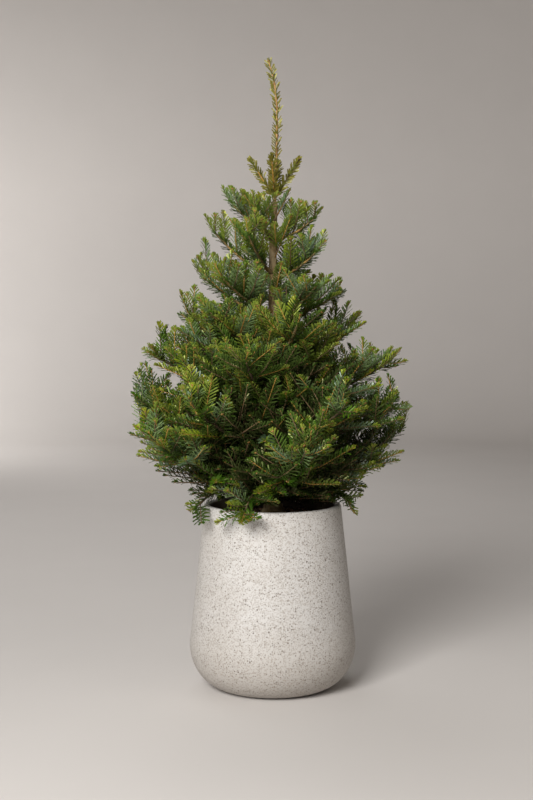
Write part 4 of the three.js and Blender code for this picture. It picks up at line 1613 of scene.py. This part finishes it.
class FIR_OT_buds(bpy.types.Operator):
    """Set one to three resinous buds on each tip, and a few along the leading shoot"""

    bl_idname = "fir.buds"
    bl_label = "Buds"

    def execute(self, context):
        settings = context.scene.fir_tree
        crown = grow_crown()
        random = np.random.default_rng(SEEDS["buds"])
        shoots = Shoots.join(list(crown.pieces.values()))
        top = crown.pieces["top"]
        above_foot = np.flatnonzero(top.age == LEADER)[1:]
        tips = Shoots.join([shoots.pick(shoots.age < STEM), top.pick(above_foot)])
        on_twigs = random.choice(TWIG_BUDS, len(tips), p=TWIG_BUDS_OFTEN)
        owner, number = in_groups(np.where(tips.age == TWIG, on_twigs, SHOOT_BUDS))
        lines, count = tips.pick(owner), len(owner)
        heading = lines.heading(1)
        side, over = across(heading, lines.up + NUDGE)
        turn = number * BUD_TURN + random.uniform(-BUD_TURN_VARIES, BUD_TURN_VARIES, count)
        apart = np.where(number == 0, *BUD_APART)[:, None]
        way = unit(heading + swung(side, over, turn) * apart)
        length = (settings.bud_length * random.uniform(*BUD_LENGTHS, count))[:, None]
        root = lines.at(1) - heading * BUD_SUNK
        side, over = across(way, lines.up + NUDGE)
        out = swung(side[:, None], over[:, None], circle(BUD_SIDES))
        rings = np.stack([
            (root + way * length * place)[:, None] + out * (length * radius)[:, None]
            for place, radius in BUD_RINGS
        ], axis=1)
        vertices, patterns = closed_skins(rings, root, root + way * length)
        finish = plain_finish("resinous_bud", settings.bud, 0.4)
        piece = mesh_piece("buds", vertices, patterns, [finish])
        seat(piece, "buds")
        return {"FINISHED"}


# One needle: a flat upper side over a keel, a little narrower at its foot, and blunt. Its half widths at
# foot and end and the keel's depth are shares of its width, the end's place and the lifts of end and tip
# towards its face are shares of its length
NEEDLE_FACES = np.array([
    (0, 1, 3), (0, 3, 2), (2, 3, 5),
    (1, 0, 4), (0, 2, 4), (3, 1, 4), (2, 5, 4), (5, 3, 4),
])
NEEDLE_SIDES = np.array([0, 0, 0, 1, 1, 1, 1, 1])
NEEDLE_HALF_WIDTHS = (0.3, 0.5)
NEEDLE_KEEL = 0.32
NEEDLE_END = 0.87
NEEDLE_END_LIFT = 0.03
NEEDLE_TIP_LIFT = 0.05
NEEDLE_WIDTHS = (0.9, 1.1)
NEEDLE_LENGTHS = (0.92, 1.06)

# Where needles stand: a shoot's fewest, how many share a place, how many more crowd at its tip and how
# near, the step of brushes and of shaded shoots in pitches, and the share of the pitch at the top
FEWEST_NEEDLES = 3
NEEDLE_GROUP = 4
TIP_NEEDLES = 7
TIP_CROWD = 0.004
BRUSH_STEP = 0.6
SHADED_STEP = 1.4
DENSEST = 0.74

# How needles lean: radians from their shoot's plane by rank, in brushes anywhere up to a most, and
# degrees from its line at the foot and top of the crown, less for each radian raised, and in brushes
# and at tips, which fade over a distance. Then how much each turns about itself, and how far its face
# tips forward
NEEDLE_RANKS = np.array([-0.26, 0.66, 0.12, 1.06])
RANK_VARIES = 0.05
BRUSH_RAISED = 1.5
FORWARD = (60, 50)
FORWARD_HEIGHTS = (LEVELS[1].base, LEVELS[5].base)
FORWARD_VARIES = 3
FORWARD_BY_RAISED = 8
BRUSH_FORWARD = (34, 52)
TIP_FORWARD = (4, 34)
TIP_FADE = 0.007
TWIST = 0.42
FACE_TIPPED = 0.25

# How much shorter needles are at a shoot's foot and tip, growing over a distance from each, and how much
# shorter those that stand up
SHORT_AT_FOOT = (0.62, 0.020)
SHORT_AT_TIP = (0.46, 0.034)
SHORT_RAISED = 0.18
SET_IN_BARK = 0.6


def needle_points(root, way, face, length, width):
    """Six points a needle: left and right at its foot, left, right and keel near its end, and its tip.
    way is its direction, face the direction of its upper side."""
    way = unit(way)
    face = unit(face - way * dot(face, way))
    length, width = length[:, None], width[:, None]
    foot, end = (np.cross(way, face) * width * share for share in NEEDLE_HALF_WIDTHS)
    near_end = root + way * length * NEEDLE_END + face * length * NEEDLE_END_LIFT
    keel = near_end - face * width * NEEDLE_KEEL
    tip = root + way * length + face * length * NEEDLE_TIP_LIFT
    return np.stack([root - foot, root + foot, near_end - end, near_end + end, keel, tip], axis=1)


def needle_places(shoots, pitch, random):
    """For each needle its shoot, its number there and its place on it: groups at even steps, each
    needle up to half a step from its group's middle, and a few more crowded at the tip."""
    run = shoots.length() * (1 - shoots.needled_from)
    brush = (shoots.spread == ALL_ROUND) & (shoots.age != LEADER)
    step = np.where(brush, BRUSH_STEP, np.where(shoots.tint == SHADED, SHADED_STEP, 1.0)) * pitch
    counts = np.maximum(run / step, FEWEST_NEEDLES).astype(int)
    owner, number = in_groups(counts + np.where(shoots.age == LEADER, 0, TIP_NEEDLES))
    total = len(owner)
    middle = number // NEEDLE_GROUP * NEEDLE_GROUP + NEEDLE_GROUP / 2
    evenly = (middle + random.uniform(-0.5, 0.5, total)) / counts[owner]
    crowded = 1 - random.uniform(0, 1, total) ** 2 * TIP_CROWD / run[owner]
    share = np.where(evenly < 1, evenly, crowded)
    return owner, number, mix(shoots.needled_from[owner], 1, share)


def needles_on(shoots, pitch, width, seed):
    """Needles along the shoots, to left and right in turn. A needle leans forward from its shoot, most
    near the tip, and stands up from the shoot's plane by its rank times the shoot's spread, in
    radians. Where the spread is ALL_ROUND, they form a brush."""
    random = np.random.default_rng(seed)
    owner, number, place = needle_places(shoots, pitch, random)
    line, total = shoots.pick(owner), len(owner)
    heading = line.heading(place)
    side, over = across(heading, line.up + NUDGE)
    brush = line.spread == ALL_ROUND
    leading = line.age == LEADER
    from_tip = np.where(leading, LEADER_TIP - line.at(place)[:, 2], (1 - place) * line.length())
    from_foot = np.where(leading, LEADER_TIP, place * line.length())

    rank = NEEDLE_RANKS[(number // 2) % len(NEEDLE_RANKS)]
    raised = rank * line.spread + random.uniform(-RANK_VARIES, RANK_VARIES, total)
    raised = np.where(brush, random.uniform(-BRUSH_RAISED, BRUSH_RAISED, total), raised)
    forward = np.interp(line.root[:, 2], FORWARD_HEIGHTS, FORWARD)
    forward = forward + random.uniform(-FORWARD_VARIES, FORWARD_VARIES, total)
    forward = forward - FORWARD_BY_RAISED * np.abs(raised)
    forward = np.where(brush, random.uniform(*BRUSH_FORWARD, total), forward)
    forward = mix(forward, random.uniform(*TIP_FORWARD, total), np.exp(-from_tip / TIP_FADE))
    sign = np.where(number % 2, 1.0, -1.0)[:, None]
    out = swung(side * sign, over, raised)
    way = swung(heading, out, np.radians(forward))
    face = over * np.cos(raised)[:, None] + heading * (FACE_TIPPED + np.abs(np.sin(raised)))[:, None]
    face = face + np.cross(way, face) * random.uniform(-TWIST, TWIST, (total, 1))

    young = np.clip(SHORT_AT_FOOT[0] + from_foot / SHORT_AT_FOOT[1], 0, 1)
    young = young * np.clip(SHORT_AT_TIP[0] + from_tip / SHORT_AT_TIP[1], 0, 1)
    length = line.needle * young * random.uniform(*NEEDLE_LENGTHS, total)
    length = length * (1 - SHORT_RAISED * np.clip(raised, 0, 1))
    root = line.at(place) + out * (line.radius(place) * SET_IN_BARK)[:, None]
    widths = width * random.uniform(*NEEDLE_WIDTHS, total)
    at_end = (from_tip < FRESH_TIP * random.uniform(*FRESH_TIP_SHARES, total)) & ~leading
    tint = np.where(at_end, END_TINTS[line.tint], line.tint)
    return needle_points(root, way, face, length, widths), tint


# The soft shine of needles is tinted by their wax. Their roughness is that of the upper side, of the
# upper side near tips and of the underside, and their undersides are a mix of the upper side's colour
# and of silver, which each tint has more or less of, in the tints' order
WAX = (1.0, 1.0, 0.46)
PALE_WAX = (0.92, 1.0, 0.92)
ROUGH_TOP, ROUGH_YOUNG, ROUGH_UNDER = 0.41, 0.50, 0.50
SHINE_TOP, SHINE_UNDER = 0.9, 0.3
SILVER_SHARE = 0.45
SILVERY = {
    "deep": 0.60,
    "mid": 0.75,
    "olive": 0.85,
    "fresh": 1.0,
    # The bluish needles' brighter silvery undersides are partly waxy bloom and partly painted sheen
    "bluish": 1.55,
    "tip": 1.0,
    "young": 0.8,
    "shaded": 0.25,
}


class FIR_OT_needles(bpy.types.Operator):
    """Cover the shoots with needles, one piece for each level, dark above and silvery below"""

    bl_idname = "fir.needles"
    bl_label = "Needles"

    def execute(self, context):
        settings = context.scene.fir_tree
        finishes = []
        for name, silvery in SILVERY.items():
            top = getattr(settings, name)
            under = mix(np.array(top), np.array(settings.underside) * silvery, SILVER_SHARE)
            rough = ROUGH_YOUNG if name in ("tip", "young") else ROUGH_TOP
            wax = PALE_WAX if name == "bluish" else WAX
            finishes += [
                plain_finish(f"needle_top_{name}", top, rough, SHINE_TOP, wax),
                plain_finish(f"needle_under_{name}", under, ROUGH_UNDER, SHINE_UNDER, wax),
            ]
        crown = grow_crown()
        for number, (name, shoots) in enumerate(crown.pieces.items()):
            pitch = settings.needle_pitch * mix(1.0, DENSEST, number / len(crown.pieces))
            points, tint = needles_on(shoots, pitch, settings.needle_width, SEEDS["needles"] + number)
            piece = mesh_piece(
                f"needles_{name}", points, [NEEDLE_FACES], finishes,
                tint=2 * tint, pattern_slots=[NEEDLE_SIDES], smooth=False,
            )
            seat(piece, "young_needles" if name == "top" else "needles", *crown.solids[name])
        return {"FINISHED"}

# The lights: place, what they face, size and colour. Their powers are settings
LIGHTS = {
    "key": ((-1.25, -3.0, 2.05), (0, 0, 0.55), 1.5, (1.0, 0.99, 0.97)),
    "overhead": ((-1.0, 2.2, 2.9), (-1.0, 2.5, 0), 2.4, (1.0, 1.0, 1.0)),
    "fill": ((2.4, -1.4, 2.0), (0, 0, 0.75), 1.8, (1.0, 0.96, 0.90)),
    "backdrop": ((-3.0, 4.0, 0.8), (-1.4, 6.4, 0.4), 1.6, (1.0, 0.99, 0.975)),
}
SKY_COLOR = (1.0, 0.91, 0.80)
CAMERA_X = -0.0115
CAMERA_LENS = 59.22

# The floor: its flat part, the bend at its edge, the top of the wall, its rings, and its faint clouds
FLAT_RADIUS = 5.0
FLOOR_BEND = 1.6
WALL_TOP = 3.2
FLOOR_RINGS = (0.4, 1.0, 2.0, 3.5)
BEND_RINGS = 14
FLOOR_SIDES = 96
FLOOR_CLOUDS = 3.0


class FIR_OT_stage(bpy.types.Operator):
    """Set the pale floor that curves up all round, the soft lights and the camera"""

    bl_idname = "fir.stage"
    bl_label = "Stage"

    def execute(self, context):
        settings = context.scene.fir_stage
        self.make_floor(settings.floor)
        for name, light in LIGHTS.items():
            self.make_light(name, getattr(settings, name + "_power"), *light)
        context.scene.view_settings.view_transform = "Standard"
        world = bpy.data.worlds.new("studio_sky")
        world.use_nodes = True
        sky = world.node_tree.nodes["Background"]
        sky.inputs["Color"].default_value = rgba(SKY_COLOR)
        sky.inputs["Strength"].default_value = settings.sky
        context.scene.world = world
        camera = bpy.data.objects.new("camera", bpy.data.cameras.new("camera"))
        context.scene.collection.objects.link(camera)
        camera.location = (CAMERA_X, -settings.camera_distance, settings.camera_height)
        camera.rotation_euler = (math.pi / 2 - settings.camera_pitch, 0, 0)
        camera.data.lens = CAMERA_LENS
        context.scene.camera = camera
        return {"FINISHED"}

    @staticmethod
    def make_floor(color):
        """A round floor whose edge curves up through a quarter circle into a low wall. It is an open
        sheet of rings, seen from above and inside."""
        curve = arc((FLAT_RADIUS, FLOOR_BEND), FLOOR_BEND, -90, 0, BEND_RINGS)
        outline = np.concatenate([
            [(radius, 0.0) for radius in FLOOR_RINGS],
            curve,
            [(curve[-1, 0], WALL_TOP)],
        ])
        rings = polar(outline[:, :1], circle(FLOOR_SIDES), outline[:, 1:])
        centre = np.zeros((1, 3))
        vertices, (fans, quads) = closed_skins(rings[None], centre, centre)
        finish = Finish("pale_floor")
        shade = finish.between(rgba(times(color, 0.95)), rgba(color), finish.noise(FLOOR_CLOUDS, 2))
        material = finish.done(Base_Color=shade, Roughness=0.8)
        floor_faces = [fans[:FLOOR_SIDES, ::-1], quads[:, ::-1]]
        floor = mesh_piece("floor", vertices, floor_faces, [material])

    @staticmethod
    def make_light(name, power, place, target, size, color):
        """A square soft light that faces a target."""
        data = bpy.data.lights.new(name, "AREA")
        data.size = size
        data.energy = power
        data.color = color
        light = bpy.data.objects.new(name, data)
        bpy.context.scene.collection.objects.link(light)
        light.location = place
        towards = Vector(target) - light.location
        light.rotation_euler = towards.to_track_quat("-Z", "Y").to_euler()


OPERATORS = (
    FIR_OT_stage,
    FIR_OT_planter,
    FIR_OT_compost,
    FIR_OT_trunk,
    FIR_OT_limbs,
    FIR_OT_twigs,
    FIR_OT_buds,
    FIR_OT_needles,
)


class FIR_PT_panel(bpy.types.Panel):
    """The sidebar's list of settings and steps."""

    bl_idname = "FIR_PT_panel"
    bl_label = "Potted fir"
    bl_space_type = "VIEW_3D"
    bl_region_type = "UI"
    bl_category = "Fir"

    def draw(self, context):
        for group in (context.scene.fir_planter, context.scene.fir_tree, context.scene.fir_stage):
            box = self.layout.box()
            for name in group.__annotations__:
                box.prop(group, name)
        for operator in OPERATORS:
            self.layout.operator(operator.bl_idname)


SETTINGS = {
    "fir_planter": FirPlanterSettings,
    "fir_tree": FirTreeSettings,
    "fir_stage": FirStageSettings,
}


def register():
    """Registers the settings, the operators and the panel."""
    for name, group in SETTINGS.items():
        bpy.utils.register_class(group)
        setattr(bpy.types.Scene, name, bpy.props.PointerProperty(type=group))
    for operator in OPERATORS:
        bpy.utils.register_class(operator)
    bpy.utils.register_class(FIR_PT_panel)


def unregister():
    """Takes the panel, the operators and the settings away again."""
    bpy.utils.unregister_class(FIR_PT_panel)
    for operator in reversed(OPERATORS):
        bpy.utils.unregister_class(operator)
    for name, group in reversed(SETTINGS.items()):
        delattr(bpy.types.Scene, name)
        bpy.utils.unregister_class(group)


def main():
    """Makes the stage and every piece."""
    register()
    for operator in OPERATORS:
        group, step = operator.bl_idname.split(".")
        getattr(getattr(bpy.ops, group), step)()


if __name__ == "__main__":
    main()
